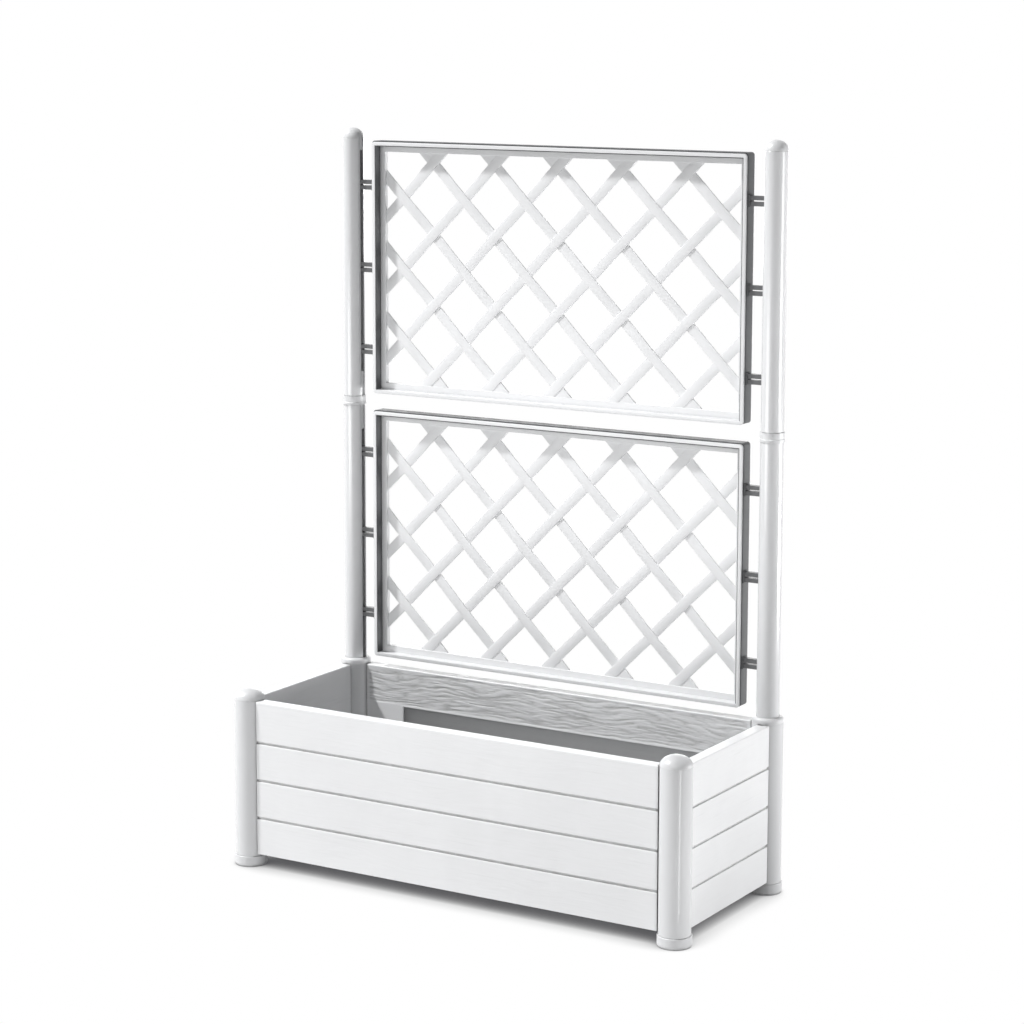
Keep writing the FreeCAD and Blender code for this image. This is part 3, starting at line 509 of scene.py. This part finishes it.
class PanelShape:
    """Cross-section and columns of a box panel: along is its length, depth runs inwards, height upwards."""

    def __init__(self, sizes, reach, post_radius, height, seed, notched):
        self.sizes = sizes
        self.reach = reach
        self.end_radius = post_radius + sizes.end_gap
        self.half = reach - self.end_radius
        self.height = height
        self.seed = seed
        # Only the long panels, which have the notch, are deeply grained inside
        self.inner_grain = sizes.inner_grain if notched else sizes.outer_grain
        self.grooves = [sizes.lowest_board + sizes.board_pitch * number for number in range(BOARD_COUNT - 1)]
        self.window_low = sizes.bottom_rail
        self.window_high = height - sizes.top_board
        self.window_half = self.half - sizes.stile
        self.profile = self.make_profile()
        self.columns = self.make_columns(notched)

    def end_at(self, depth):
        """Where the panel's hollow end, which follows the post, lies at a depth."""
        if depth > self.sizes.thickness + TOUCH:
            return self.half
        return self.reach - math.sqrt(self.end_radius ** 2 - (depth - self.sizes.tongue_setback) ** 2)

    def groove_depth(self, level):
        """Depth of the nearest groove at a height, with soft lips."""
        away = min(abs(level - groove) for groove in self.grooves) / self.sizes.groove_half
        for (near, deep), (far, shallow) in zip(GROOVE_SHAPE, GROOVE_SHAPE[1:]):
            if away <= far:
                return self.sizes.groove_depth * (deep + (shallow - deep) * (away - near) / (far - near))
        return 0.0

    def make_profile(self):
        """Closed cross-section as (depth, height, face) points; face is boards, inside, ledge or empty."""
        sizes = self.sizes
        soft, arris, thick = sizes.top_round, sizes.arris, sizes.thickness
        lips = [away for away, _ in GROOVE_SHAPE[:-1]]
        stops = [-away for away in reversed(lips[1:])] + lips
        margin = sizes.groove_half * GROOVE_SHAPE[-1][0]
        edges = [arris, *self.grooves, self.height - soft]
        levels = []
        for number, (low, high) in enumerate(zip(edges, edges[1:])):
            start = low + margin if number else low
            end = high - margin if number < len(self.grooves) else high
            levels += evenly(start, end, sizes.row_step)
            if number < len(self.grooves):
                levels += [high + stop * sizes.groove_half for stop in stops]
        points = [(*spot, "") for spot in arc((arris, arris), arris, 270, 180, 2)[:-1]]
        points += [(self.groove_depth(level), level, "boards") for level in levels]
        points += [(*spot, "") for spot in arc((soft, self.height - soft), soft, 180, 90)[1:]]
        ribs = evenly(soft * 2, thick - soft * 2, RIB_STEP)
        self.top_ribs = list(range(len(points), len(points) + len(ribs)))
        points += [(rib, self.height, "") for rib in ribs]
        points += [(*spot, "") for spot in arc((thick - soft, self.height - soft), soft, 90, 0)[:-1]]
        inner = evenly(self.window_high + arris, self.height - soft, sizes.row_step)
        inner = evenly(self.window_low - arris, self.window_high + arris, PLAIN_STEP)[:-1] + inner
        inner = evenly(sizes.ledge_height, self.window_low - arris, PLAIN_STEP)[:-1] + inner
        points += [(thick, level, "inside") for level in reversed(inner)]
        tip = thick + sizes.ledge_width - arris
        points += [(*spot, "ledge") for spot in arc((tip, sizes.ledge_height - arris), arris, 90, 0, 2)]
        points += [(*spot, "") for spot in arc((tip, arris), arris, 0, -90, 2)]
        self.bottom_ribs = list(range(len(points) + len(ribs), len(points), -1))
        points += [(rib, 0.0, "") for rib in (thick, *reversed(ribs))]
        return points

    def make_columns(self, notched):
        """Stations along the panel as (place, inset, in the notch, end); at an end the place counts back from it.

        A side of the notch has two stations at one place.
        """
        sizes = self.sizes
        marks = [self.window_half + sizes.arris, self.half - sizes.arris * 3]
        if notched:
            marks.insert(0, sizes.notch_half_width)
        marks = [-mark for mark in reversed(marks)] + marks
        ends = ((0.0, sizes.arris), (sizes.arris * 0.3, sizes.arris * 0.3), (sizes.arris, 0.0))
        columns = [(place, inset, False, -1) for place, inset in ends]
        for low, high in zip(marks, marks[1:]):
            inside = notched and abs(low + high) < TOUCH
            at_notch = inside or columns[-1][2]
            stations = [(place, 0.0, inside, 0) for place in evenly(low, high, sizes.column_step)]
            columns += stations if at_notch or len(columns) == len(ends) else stations[1:]
        return columns + [(place, inset, False, 1) for place, inset in reversed(ends)]

    def relief(self, place, level, face):
        """How deep the grain lies at a spot of the boards or of the inner rim board."""
        sizes = self.sizes
        edges = [0.0, *self.grooves, self.height]
        if face == "inside":
            edges = [self.window_high, self.height]
            if level < self.window_high:
                return 0.0
        board = max(number for number, edge in enumerate(edges[:-1]) if level >= edge - TOUCH)
        low, high = edges[board], edges[board + 1]
        fade = ease((min(level - low, high - level) - BARE_EDGE) / EDGE_FADE)
        fade *= ease((self.half - abs(place)) / END_FADE)
        seed = self.seed + board * BOARD_SEED + (INSIDE_SEED if face == "inside" else 0.0)
        deepest = self.inner_grain if face == "inside" else sizes.outer_grain
        return deepest * fade * grain(place, level - (low + high) / 2, seed, sizes.grain_pitch)

    def spot(self, column, number):
        """A point of the surface as (place along the panel, depth, height), and how deep the grain is there."""
        place, inset, in_notch, end = column
        depth, level, face = self.profile[number]
        etched = 0.0
        if end:
            place = end * (self.end_at(depth) - place)
        if inset:
            before, after = self.profile[number - 1], self.profile[(number + 1) % len(self.profile)]
            run = Vector((after[0] - before[0], after[1] - before[1])).normalized()
            depth, level = depth + run.y * inset, level - run.x * inset
        if face in ("boards", "inside"):
            etched = self.relief(place, level, face)
            depth += etched if face == "boards" else -etched
        on_ledge = face == "ledge" or (face == "inside" and level <= self.sizes.ledge_height + TOUCH)
        if in_notch and on_ledge:
            level -= self.sizes.notch_depth
        return (place, depth, level), etched


def close_end(work, shape, loop):
    """Closes a hollow end of the panel with upright strips that follow the post."""
    tops, bottoms = shape.top_ribs, shape.bottom_ribs
    strips = [[*range(bottoms[0], len(loop)), *range(tops[0] + 1)], [*range(tops[-1], bottoms[-1] + 1)]]
    for rib in range(len(tops) - 1):
        strips.append([bottoms[rib + 1], bottoms[rib], tops[rib], tops[rib + 1]])
    for strip in strips:
        work.faces.new([loop[number] for number in strip])


def skin_panel(work, shape, put_point):
    """Lays the panel's outer surface, leaves the recess open and gives the recess's rim as a loop of vertices."""
    count = len(shape.profile)
    grain_and_shade_layer = work.verts.layers.float.new(GRAIN_AND_SHADE_LAYER)
    grid = []
    for column in shape.columns:
        loop = []
        for number in range(count):
            spot, etched = shape.spot(column, number)
            loop.append(put_point(*spot))
            loop[-1][grain_and_shade_layer] = etched / shape.sizes.inner_grain
        grid.append(loop)
    rim_half = shape.window_half + shape.sizes.arris
    rim_low = shape.window_low - shape.sizes.arris
    rim_high = shape.window_high + shape.sizes.arris
    rows = [number for number, (_, level, face) in enumerate(shape.profile)
            if face == "inside" and rim_low - SAME_PLACE <= level <= rim_high + SAME_PLACE]
    spans = [number for number, (place, _, _, end) in enumerate(shape.columns)
             if not end and abs(place) <= rim_half + SAME_PLACE]
    for left, (near, far) in enumerate(zip(grid, grid[1:])):
        for number in range(count):
            if rows[0] <= number < rows[-1] and spans[0] <= left < spans[-1]:
                continue
            following = (number + 1) % count
            corners = (near[number], far[number], far[following], near[following])
            if len({corner.co.copy().freeze() for corner in corners}) > 2:
                work.faces.new(corners)
    close_end(work, shape, grid[0])
    close_end(work, shape, grid[-1])
    rim = [(column, rows[0]) for column in spans]
    rim += [(spans[-1], row) for row in rows[1:]]
    rim += [(column, rows[-1]) for column in reversed(spans[:-1])]
    rim += [(spans[0], row) for row in reversed(rows[1:-1])]
    return [(shape.columns[column][0], shape.profile[row][1], grid[column][row]) for column, row in rim]


def sink_recess(work, shape, rim, put_point):
    """Carries the recess's rim through the inner skin and out along the hollow behind it."""
    sizes = shape.sizes
    hollow_half = shape.half - sizes.skin
    window_middle = (shape.window_low + shape.window_high) / 2
    window_reach = (shape.window_high - shape.window_low) / 2
    grain_and_shade_layer = work.verts.layers.float[GRAIN_AND_SHADE_LAYER]
    loops = [[vertex for _, _, vertex in rim]]
    for kind, depth in (("window", sizes.thickness - sizes.arris), ("window", sizes.thickness - sizes.skin),
                        ("hollow", sizes.thickness - sizes.skin), ("hollow", sizes.skin)):
        loop = []
        for place, level, _ in rim:
            across = min(max(place, -shape.window_half), shape.window_half)
            up = min(max(level, shape.window_low), shape.window_high)
            if kind == "hollow":
                across *= hollow_half / shape.window_half
                up = shape.height / 2 + (up - window_middle) / window_reach * (shape.height / 2 - sizes.skin)
            loop.append(put_point(across, depth, up))
            # Painted shade: the back of the hollow is darkened through the grain layer
            loop[-1][grain_and_shade_layer] = sizes.recess_painted_shade if kind == "hollow" else 0.0
        loops.append(loop)
    for outer, inner in zip(loops, loops[1:]):
        for number in range(len(outer)):
            following = (number + 1) % len(outer)
            work.faces.new((outer[number], outer[following], inner[following], inner[number]))
    work.faces.new(loops[-1])


def add_block(work, put_point, low, high, bevel):
    """A soft-edged block between two corners in the panel's own directions."""
    corners = [put_point(*(high[axis] if pick[axis] else low[axis] for axis in range(3)))
               for pick in ((x, y, z) for x in (0, 1) for y in (0, 1) for z in (0, 1))]
    sides = ((0, 1, 3, 2), (4, 6, 7, 5), (0, 4, 5, 1), (2, 3, 7, 6), (0, 2, 6, 4), (1, 5, 7, 3))
    soften(work, [work.faces.new([corners[number] for number in side]) for side in sides], bevel)


PANEL_SIDES = (  # name, direction along the panel, direction into the box
    ("front", Vector((1, 0, 0)), Vector((0, 1, 0))),
    ("back", Vector((-1, 0, 0)), Vector((0, -1, 0))),
    ("right", Vector((0, 1, 0)), Vector((-1, 0, 0))),
    ("left", Vector((0, -1, 0)), Vector((1, 0, 0))),
)


class PLANTER_OT_panels(bpy.types.Operator):
    """Makes the four grained box panels"""

    bl_idname = "planter.panels"
    bl_label = "Box Panels"

    def execute(self, context):
        sizes = context.scene.planter_panels
        finish = context.scene.planter_finish
        post_low, post_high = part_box("front_right_post")
        post_axis = (post_low + post_high) / 2
        post_radius = (post_high.x - post_low.x) / 2
        for number, (side, along_axis, inwards) in enumerate(PANEL_SIDES):
            is_long = side in ("front", "back")
            node = f"{side}_panel"
            low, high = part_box(node)
            corner = Vector(low if inwards.x + inwards.y > 0 else high)
            base = inwards * corner.dot(inwards) + Vector((0, 0, low.z))
            shape = PanelShape(sizes, abs(post_axis.dot(along_axis)), post_radius, high.z - low.z,
                               FIRST_SEED + number * PANEL_SEED, is_long)
            work = bmesh.new()

            def put_point(place, depth, level):
                return work.verts.new(base + along_axis * place + inwards * depth + Vector((0, 0, level)))

            rim = skin_panel(work, shape, put_point)
            sink_recess(work, shape, rim, put_point)
            for hand in (-1, 1):
                ends = sorted((hand * (shape.half - sizes.arris * 2), hand * (shape.half + sizes.tongue_reach)))
                middle = sizes.tongue_setback
                add_block(work, put_point, (ends[0], middle - sizes.tongue_thickness / 2, sizes.arris),
                          (ends[1], middle + sizes.tongue_thickness / 2, shape.height - sizes.top_round),
                          sizes.arris / 2)
            axis = "X" if is_long else "Y"
            # Strong dust and painted shade in the grooves and the gaps at the posts
            material = plastic(f"grained_boards_{axis.lower()}", finish.board, finish, shade_and_dust_amount=0.95,
                               mottle=0.035, roughness=0.42, grain_axis=axis)
            add_piece(f"{side}_grained_panel", work, material, "planter", node)
        return {"FINISHED"}


# Posts, feet and floor

class PLANTER_OT_posts(bpy.types.Operator):
    """Gives the posts, feet, caps and collars their smooth white plastic"""

    bl_idname = "planter.posts"
    bl_label = "Posts and Feet"

    def execute(self, context):
        finish = context.scene.planter_finish
        corners = [f"{depth}_{hand}" for depth in ("front", "rear") for hand in ("left", "right")]
        dress([f"{corner}_post" for corner in corners], post_plastic(finish))
        ends = [f"{corner}_foot" for corner in corners] + [f"front_{hand}_cap" for hand in ("left", "right")]
        ends += [f"rear_{hand}_collar" for hand in ("left", "right")]
        dress(ends, cap_plastic(finish))
        return {"FINISHED"}


class PLANTER_OT_base(bpy.types.Operator):
    """Gives the planter's floor plates and cross bar their plastic"""

    bl_idname = "planter.base"
    bl_label = "Planter Floor"

    def execute(self, context):
        finish = context.scene.planter_finish
        # Painted shade: grey floor plates darken the inside of the box
        material = plastic("floor_plastic", finish.base, finish, shade_and_dust_amount=0.6, mottle=0.08, roughness=0.5,
                           roughness_spread=0.1, peel_scale=160.0, peel=0.12)
        dress(("base_left", "base_right", "base_cross_bar"), material)
        return {"FINISHED"}


# Screen

class PLANTER_OT_uprights(bpy.types.Operator):
    """Gives the uprights, joiners and top caps their smooth white plastic"""

    bl_idname = "planter.uprights"
    bl_label = "Uprights"

    def execute(self, context):
        finish = context.scene.planter_finish
        dress([f"{storey}_{hand}_upright" for storey in ("lower", "upper") for hand in ("left", "right")],
              post_plastic(finish))
        dress([f"{hand}_{end}" for hand in ("left", "right") for end in ("joiner", "top_cap")], cap_plastic(finish))
        return {"FINISHED"}


EDGE_STEPS = 3  # faces round a soft edge of the lattice
LARGEST_ROUND = 0.45  # share of a side that its rounding may take up
FRAME_CORNER_STEPS = 4  # faces round a corner of the lattice frame
STRIP_STEP = 0.006  # mesh spacing along a lattice strip, in metres
DIAGONAL = math.sqrt(2)
NO_LENGTH = 1e-7  # metres below which a side of a face is left out


def softened(corners, radius):
    """A closed outline whose outer corners are rounded."""
    outline = []
    points = [Vector(corner) for corner in corners]
    for number, here in enumerate(points):
        before, after = points[number - 1], points[(number + 1) % len(points)]
        arriving, leaving = (here - before).normalized(), (after - here).normalized()
        if arriving.x * leaving.y - arriving.y * leaving.x <= 0:
            outline.append(here)
            continue
        reach = min(radius, (here - before).length * LARGEST_ROUND, (after - here).length * LARGEST_ROUND)
        centre = here - arriving * reach + leaving * reach
        for step in range(EDGE_STEPS + 1):
            angle = math.radians(90 * step / EDGE_STEPS)
            outline.append(centre - leaving * reach * math.cos(angle) + arriving * reach * math.sin(angle))
    return outline


def sweep_frame(work, outline, half_width, half_height, corner_round, put_point):
    """Carries a cross-section of (inset, depth) points round the lattice frame."""
    rings = []
    for turn, (hand, rise) in enumerate(((1, 1), (-1, 1), (-1, -1), (1, -1))):
        for step in range(FRAME_CORNER_STEPS + 1):
            angle = math.radians(90 * turn + 90 * step / FRAME_CORNER_STEPS)
            ring = []
            for inset, depth in outline:
                swing = max(corner_round - inset, 0.0)
                retreat = max(corner_round, inset)
                ring.append(put_point(hand * (half_width - retreat) + swing * math.cos(angle), depth,
                                      rise * (half_height - retreat) + swing * math.sin(angle)))
            rings.append(ring)
    for number, ring in enumerate(rings):
        following = rings[(number + 1) % len(rings)]
        for point in range(len(outline)):
            after = (point + 1) % len(outline)
            corners = []
            for vertex in (ring[point], following[point], following[after], ring[after]):
                if all((vertex.co - other.co).length > NO_LENGTH for other in corners):
                    corners.append(vertex)
            if len(corners) > 2:
                work.faces.new(corners)


def weave_strip(work, sizes, lean, offset, room, middle, put_point):
    """One strip at 45 degrees that passes in turn before and behind the strips that cross it."""
    half_width, half_skin = sizes.strip_width / 2, sizes.strip_thickness / 2
    section = softened(((-half_width, -half_skin), (half_width, -half_skin), (half_width, half_skin),
                        (-half_width, half_skin)), sizes.softness)
    row = sizes.pitch / 2 * DIAGONAL
    flat_half = sizes.strip_flat / 2

    def lift(run):
        crossing = round(run / row)
        away = abs(run - crossing * row)
        # 1 on the flat at the crossing, 0 halfway to the next one
        part = 1 - 2 * ease((away - flat_half) / (row - sizes.strip_flat))
        behind = (crossing % 2 == 0) == (lean > 0)
        return sizes.strip_lift * part * (1 if behind else -1)

    spans = []
    for across, _ in section:
        low = -room[1] * DIAGONAL + lean * across
        high = room[1] * DIAGONAL + lean * across
        sides = sorted(lean * (side * room[0] - offset) * DIAGONAL - lean * across for side in (-1, 1))
        spans.append((max(low, sides[0]), min(high, sides[1])))
    if min(high - low for low, high in spans) < sizes.strip_width:
        return
    steps = math.ceil(max(high - low for low, high in spans) / STRIP_STEP)
    rings = []
    for step in range(steps + 1):
        ring = []
        for (across, skin), (low, high) in zip(section, spans):
            run = low + (high - low) * step / steps
            ring.append(put_point(offset + (lean * run + across) / DIAGONAL, middle + lift(run) + skin,
                                  (run - lean * across) / DIAGONAL))
        rings.append(ring)
    for ring, following in zip(rings, rings[1:]):
        for point in range(len(section)):
            after = (point + 1) % len(section)
            work.faces.new((ring[point], following[point], following[after], ring[after]))
    work.faces.new(rings[0])
    work.faces.new(list(reversed(rings[-1])))


def add_gusset(work, sizes, place, knot_height, rail_height, side, middle, put_point):
    """Three-cornered web between two strips and the rail that they run into."""
    half_strip = sizes.strip_width / DIAGONAL
    reach = rail_height - knot_height + half_strip
    corners = ((place, side * (knot_height - half_strip)), (place + reach, side * rail_height),
               (place - reach, side * rail_height))
    front = [put_point(x, middle - sizes.strip_thickness / 2, z) for x, z in corners]
    rear = [put_point(x, middle + sizes.strip_thickness / 2, z) for x, z in corners]
    faces = [work.faces.new(front), work.faces.new(list(reversed(rear)))]
    for number in range(3):
        after = (number + 1) % 3
        faces.append(work.faces.new((front[number], front[after], rear[after], rear[number])))
    soften(work, faces, sizes.softness / 2)


class PLANTER_OT_lattices(bpy.types.Operator):
    """Makes the two lattice panels with their channelled frames"""

    bl_idname = "planter.lattices"
    bl_label = "Lattice Panels"

    def execute(self, context):
        sizes = context.scene.planter_lattice
        finish = context.scene.planter_finish
        material = plastic("lattice_plastic", finish.lattice, finish, shade_and_dust_amount=0.04, roughness=0.4)
        for storey in ("lower", "upper"):
            node = f"{storey}_trellis"
            low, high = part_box(node)
            centre = (low + high) / 2
            half_width, depth, half_height = (high.x - low.x) / 2, high.y - low.y, (high.z - low.z) / 2
            work = bmesh.new()

            def put_point(x, y, z):
                return work.verts.new((centre.x + x, low.y + y, centre.z + z))

            channel = sizes.flange_width - sizes.web_thickness
            rail_rear = sizes.rail_setback + sizes.rail_thickness
            corners = ((0, 0), (sizes.flange_width, 0), (sizes.flange_width, sizes.rail_setback),
                       (sizes.rail_width, sizes.rail_setback), (sizes.rail_width, rail_rear),
                       (sizes.flange_width, rail_rear), (sizes.flange_width, depth), (0, depth),
                       (0, depth - sizes.flange_thickness), (channel, depth - sizes.flange_thickness),
                       (channel, sizes.flange_thickness), (0, sizes.flange_thickness))
            outline = softened(corners, sizes.softness)
            sweep_frame(work, outline, half_width, half_height, sizes.corner_round, put_point)
            trim = (sizes.flange_width + sizes.rail_width) / 2
            room = (half_width - trim, half_height - trim)
            middle = sizes.rail_setback + sizes.rail_thickness / 2
            reach = math.ceil((room[0] + room[1]) / sizes.pitch)
            for number in range(-reach, reach):
                for lean in (-1, 1):
                    weave_strip(work, sizes, lean, (number + 0.5) * sizes.pitch, room, middle, put_point)
            edge_row = round((half_height - sizes.rail_width) / sizes.pitch * 2)
            last = math.floor(room[0] / sizes.pitch)
            for number in range(-last, last + 1):
                for side in (-1, 1):
                    add_gusset(work, sizes, (number + (edge_row + 1) % 2 / 2) * sizes.pitch,
                               edge_row * sizes.pitch / 2, room[1], side, middle, put_point)
            add_piece(f"{storey}_lattice", work, material, f"{storey}_screen", node)
        return {"FINISHED"}


class PLANTER_OT_trim(bpy.types.Operator):
    """Gives the edge strips a dark matt plastic that paints the shade in the frames' channels, and the pegs a dark
    matt plastic that paints the shade on them
    """

    bl_idname = "planter.trim"
    bl_label = "Edge Strips and Pegs"

    def execute(self, context):
        finish = context.scene.planter_finish
        # Painted shade: dark edge strips in place of the shade in the frames' channels
        dress(("lower_edge_strip", "upper_edge_strip"),
              plastic("edging_plastic", finish.edging, finish, shade_and_dust_amount=0.12, mottle=0.2, roughness=0.5))
        # Painted shade: dark pegs in place of the shade that falls on them
        dress(("lower_pegs", "upper_pegs"),
              plastic("peg_plastic", finish.peg, finish, shade_and_dust_amount=0.12, mottle=0.2, roughness=0.45))
        return {"FINISHED"}


# Stage

SHADOW_RANGE = (0.1, 0.7)  # closed to open floor
ALL_ROUND = 180  # beam of a lamp that isn't narrowed, in degrees
LAMPS = (  # name, place, target, width, height, beam
    ("key", (-4.686, -2.186, 6.92), (0, 0, 0.3), 0.5, 0.5, ALL_ROUND),
    ("left", (-1.45, -3.08, 0.4), (0, 0, 0.4), 2.0, 0.7, ALL_ROUND),
    ("right", (2.425, 1.4, 0.25), (0, 0, 0.25), 1.0, 0.4, ALL_ROUND),
    ("upper", (2.95, 0.4, 0.9), (0, 0, 1.5), 1.4, 0.8, 34),
    ("fill", (1.6, -2.6, 1.6), (0.1, 0.18, 0.76), 1.0, 0.6, 32),
    ("line", (0.628, -0.303, 0.145), (0.468, -0.183, 0.145), 0.012, 0.29, ALL_ROUND),
    ("rear", (-1.65, 3.53, 1.2), (0, 0, 0.35), 3.0, 0.8, ALL_ROUND),
)
SENSOR_WIDTH = 36  # millimetres


def background_rays(tree):
    """Where rays come straight, or by gloss or glass, from the camera; gives the mask."""
    path = put(tree, "ShaderNodeLightPath")
    either = calculate(tree, "MAXIMUM", path.outputs["Is Camera Ray"], path.outputs["Is Glossy Ray"])
    return calculate(tree, "MAXIMUM", either, path.outputs["Is Transmission Ray"])


def join_shaders(tree, lighting, seen, output):
    """Puts one shader where light falls on the planter and another where the background is seen."""
    mix = put(tree, "ShaderNodeMixShader")
    tree.links.new(background_rays(tree), mix.inputs[0])
    tree.links.new(lighting.outputs[0], mix.inputs[1])
    tree.links.new(seen.outputs[0], mix.inputs[2])
    tree.links.new(mix.outputs[0], put(tree, output).inputs["Surface"])


def floor_material(stage):
    """White floor that keeps the planter's shadow, and throws light back on it."""
    material = bpy.data.materials.new("studio_floor")
    material.use_nodes = True
    tree = material.node_tree
    tree.nodes.clear()
    link = tree.links.new
    near = put(tree, "ShaderNodeAmbientOcclusion", samples=32, Distance=stage.shadow_reach)
    seen = put(tree, "ShaderNodeEmission", Strength=1.0)
    openness = spread(tree, near.outputs["AO"], *SHADOW_RANGE)
    link(blended(tree, openness, stage.shadow_colour, (1, 1, 1)), seen.inputs["Color"])
    thrown = put(tree, "ShaderNodeBsdfDiffuse", Color=(*stage.floor_colour, 1))
    join_shaders(tree, thrown, seen, "ShaderNodeOutputMaterial")
    return material


def studio_world(stage):
    """White surroundings behind the planter, and a lower even light on it."""
    world = bpy.data.worlds.new("studio")
    world.use_nodes = True
    tree = world.node_tree
    tree.nodes.clear()
    even = put(tree, "ShaderNodeBackground", Color=(1, 1, 1, 1), Strength=stage.ambient)
    seen = put(tree, "ShaderNodeBackground", Color=(1, 1, 1, 1), Strength=1.0)
    join_shaders(tree, even, seen, "ShaderNodeOutputWorld")
    return world


def add_lamp(name, place, target, width, height, beam, watts):
    """A soft rectangular lamp that faces a point; its beam is in degrees."""
    lamp = bpy.data.lights.new(name, "AREA")
    lamp.shape = "RECTANGLE"
    lamp.size, lamp.size_y = width, height
    lamp.spread = math.radians(beam)
    lamp.energy = watts
    thing = bpy.data.objects.new(name, lamp)
    thing.location = place
    thing.rotation_euler = (Vector(target) - Vector(place)).to_track_quat("-Z", "Y").to_euler()
    thing.visible_camera = False
    bpy.context.scene.collection.objects.link(thing)


def add_camera(stage):
    """The camera at the photograph's viewing angle."""
    lens = bpy.data.cameras.new("photo_camera")
    lens.sensor_width = SENSOR_WIDTH
    lens.lens = stage.lens
    lens.shift_y = stage.shift
    camera = bpy.data.objects.new("photo_camera", lens)
    turn, dip, roll = stage.camera_turn, stage.camera_dip, stage.camera_roll
    ahead = Vector((-math.sin(turn) * math.cos(dip), math.cos(turn) * math.cos(dip), -math.sin(dip)))
    level = Vector((math.cos(turn), math.sin(turn), 0))
    above = level.cross(ahead)
    right = level * math.cos(roll) + above * math.sin(roll)
    up = above * math.cos(roll) - level * math.sin(roll)
    facing = Matrix((right, up, -ahead)).transposed().to_4x4()
    camera.matrix_world = Matrix.Translation(stage.camera_place) @ facing
    bpy.context.scene.collection.objects.link(camera)
    return camera


class PLANTER_OT_stage(bpy.types.Operator):
    """Sets up the floor, the lamps and the camera"""

    bl_idname = "planter.stage"
    bl_label = "Stage"

    def execute(self, context):
        stage = context.scene.planter_stage
        work = bmesh.new()
        bmesh.ops.create_grid(work, x_segments=6, y_segments=6, size=stage.floor_half)
        mesh = bpy.data.meshes.new("studio_floor")
        work.to_mesh(mesh)
        work.free()
        mesh.materials.append(floor_material(stage))
        floor = bpy.data.objects.new("studio_floor", mesh)
        context.scene.collection.objects.link(floor)
        floor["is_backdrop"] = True
        context.scene.world = studio_world(stage)
        context.scene.view_settings.view_transform = "Standard"
        for name, *setting in LAMPS:
            add_lamp(f"{name}_lamp", *setting, getattr(stage, f"{name}_power"))
        context.scene.camera = add_camera(stage)
        return {"FINISHED"}


class PLANTER_PT_sidebar(bpy.types.Panel):
    """Lists the steps that dress the planter"""

    bl_label = "Planter with Privacy Screen"
    bl_idname = "PLANTER_PT_sidebar"
    bl_space_type = "VIEW_3D"
    bl_region_type = "UI"
    bl_category = "Planter"

    def draw(self, context):
        for step in STEPS:
            self.layout.operator(step.bl_idname)
        for group in SETTINGS:
            box = self.layout.box()
            settings = getattr(context.scene, group)
            for name in settings.__annotations__:
                box.prop(settings, name)


STEPS = (PLANTER_OT_panels, PLANTER_OT_posts, PLANTER_OT_base, PLANTER_OT_uprights, PLANTER_OT_lattices,
         PLANTER_OT_trim, PLANTER_OT_stage)
SETTINGS = {"planter_panels": PLANTER_PG_panels, "planter_lattice": PLANTER_PG_lattice,
            "planter_finish": PLANTER_PG_finish, "planter_stage": PLANTER_PG_stage}


def register():
    for group in (*SETTINGS.values(), *STEPS, PLANTER_PT_sidebar):
        bpy.utils.register_class(group)
    for name, group in SETTINGS.items():
        setattr(bpy.types.Scene, name, PointerProperty(type=group))


def unregister():
    for name in SETTINGS:
        delattr(bpy.types.Scene, name)
    for group in (PLANTER_PT_sidebar, *reversed(STEPS), *reversed(SETTINGS.values())):
        bpy.utils.unregister_class(group)


def main():
    register()
    bpy.ops.planter.panels()
    bpy.ops.planter.posts()
    bpy.ops.planter.base()
    bpy.ops.planter.uprights()
    bpy.ops.planter.lattices()
    bpy.ops.planter.trim()
    bpy.ops.planter.stage()
    boxes = {"cad": cad_box, "visual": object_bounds()}
    {name: [list(corner) for corner in box] for name, box in boxes.items()}


if __name__ == "__main__":
    main()
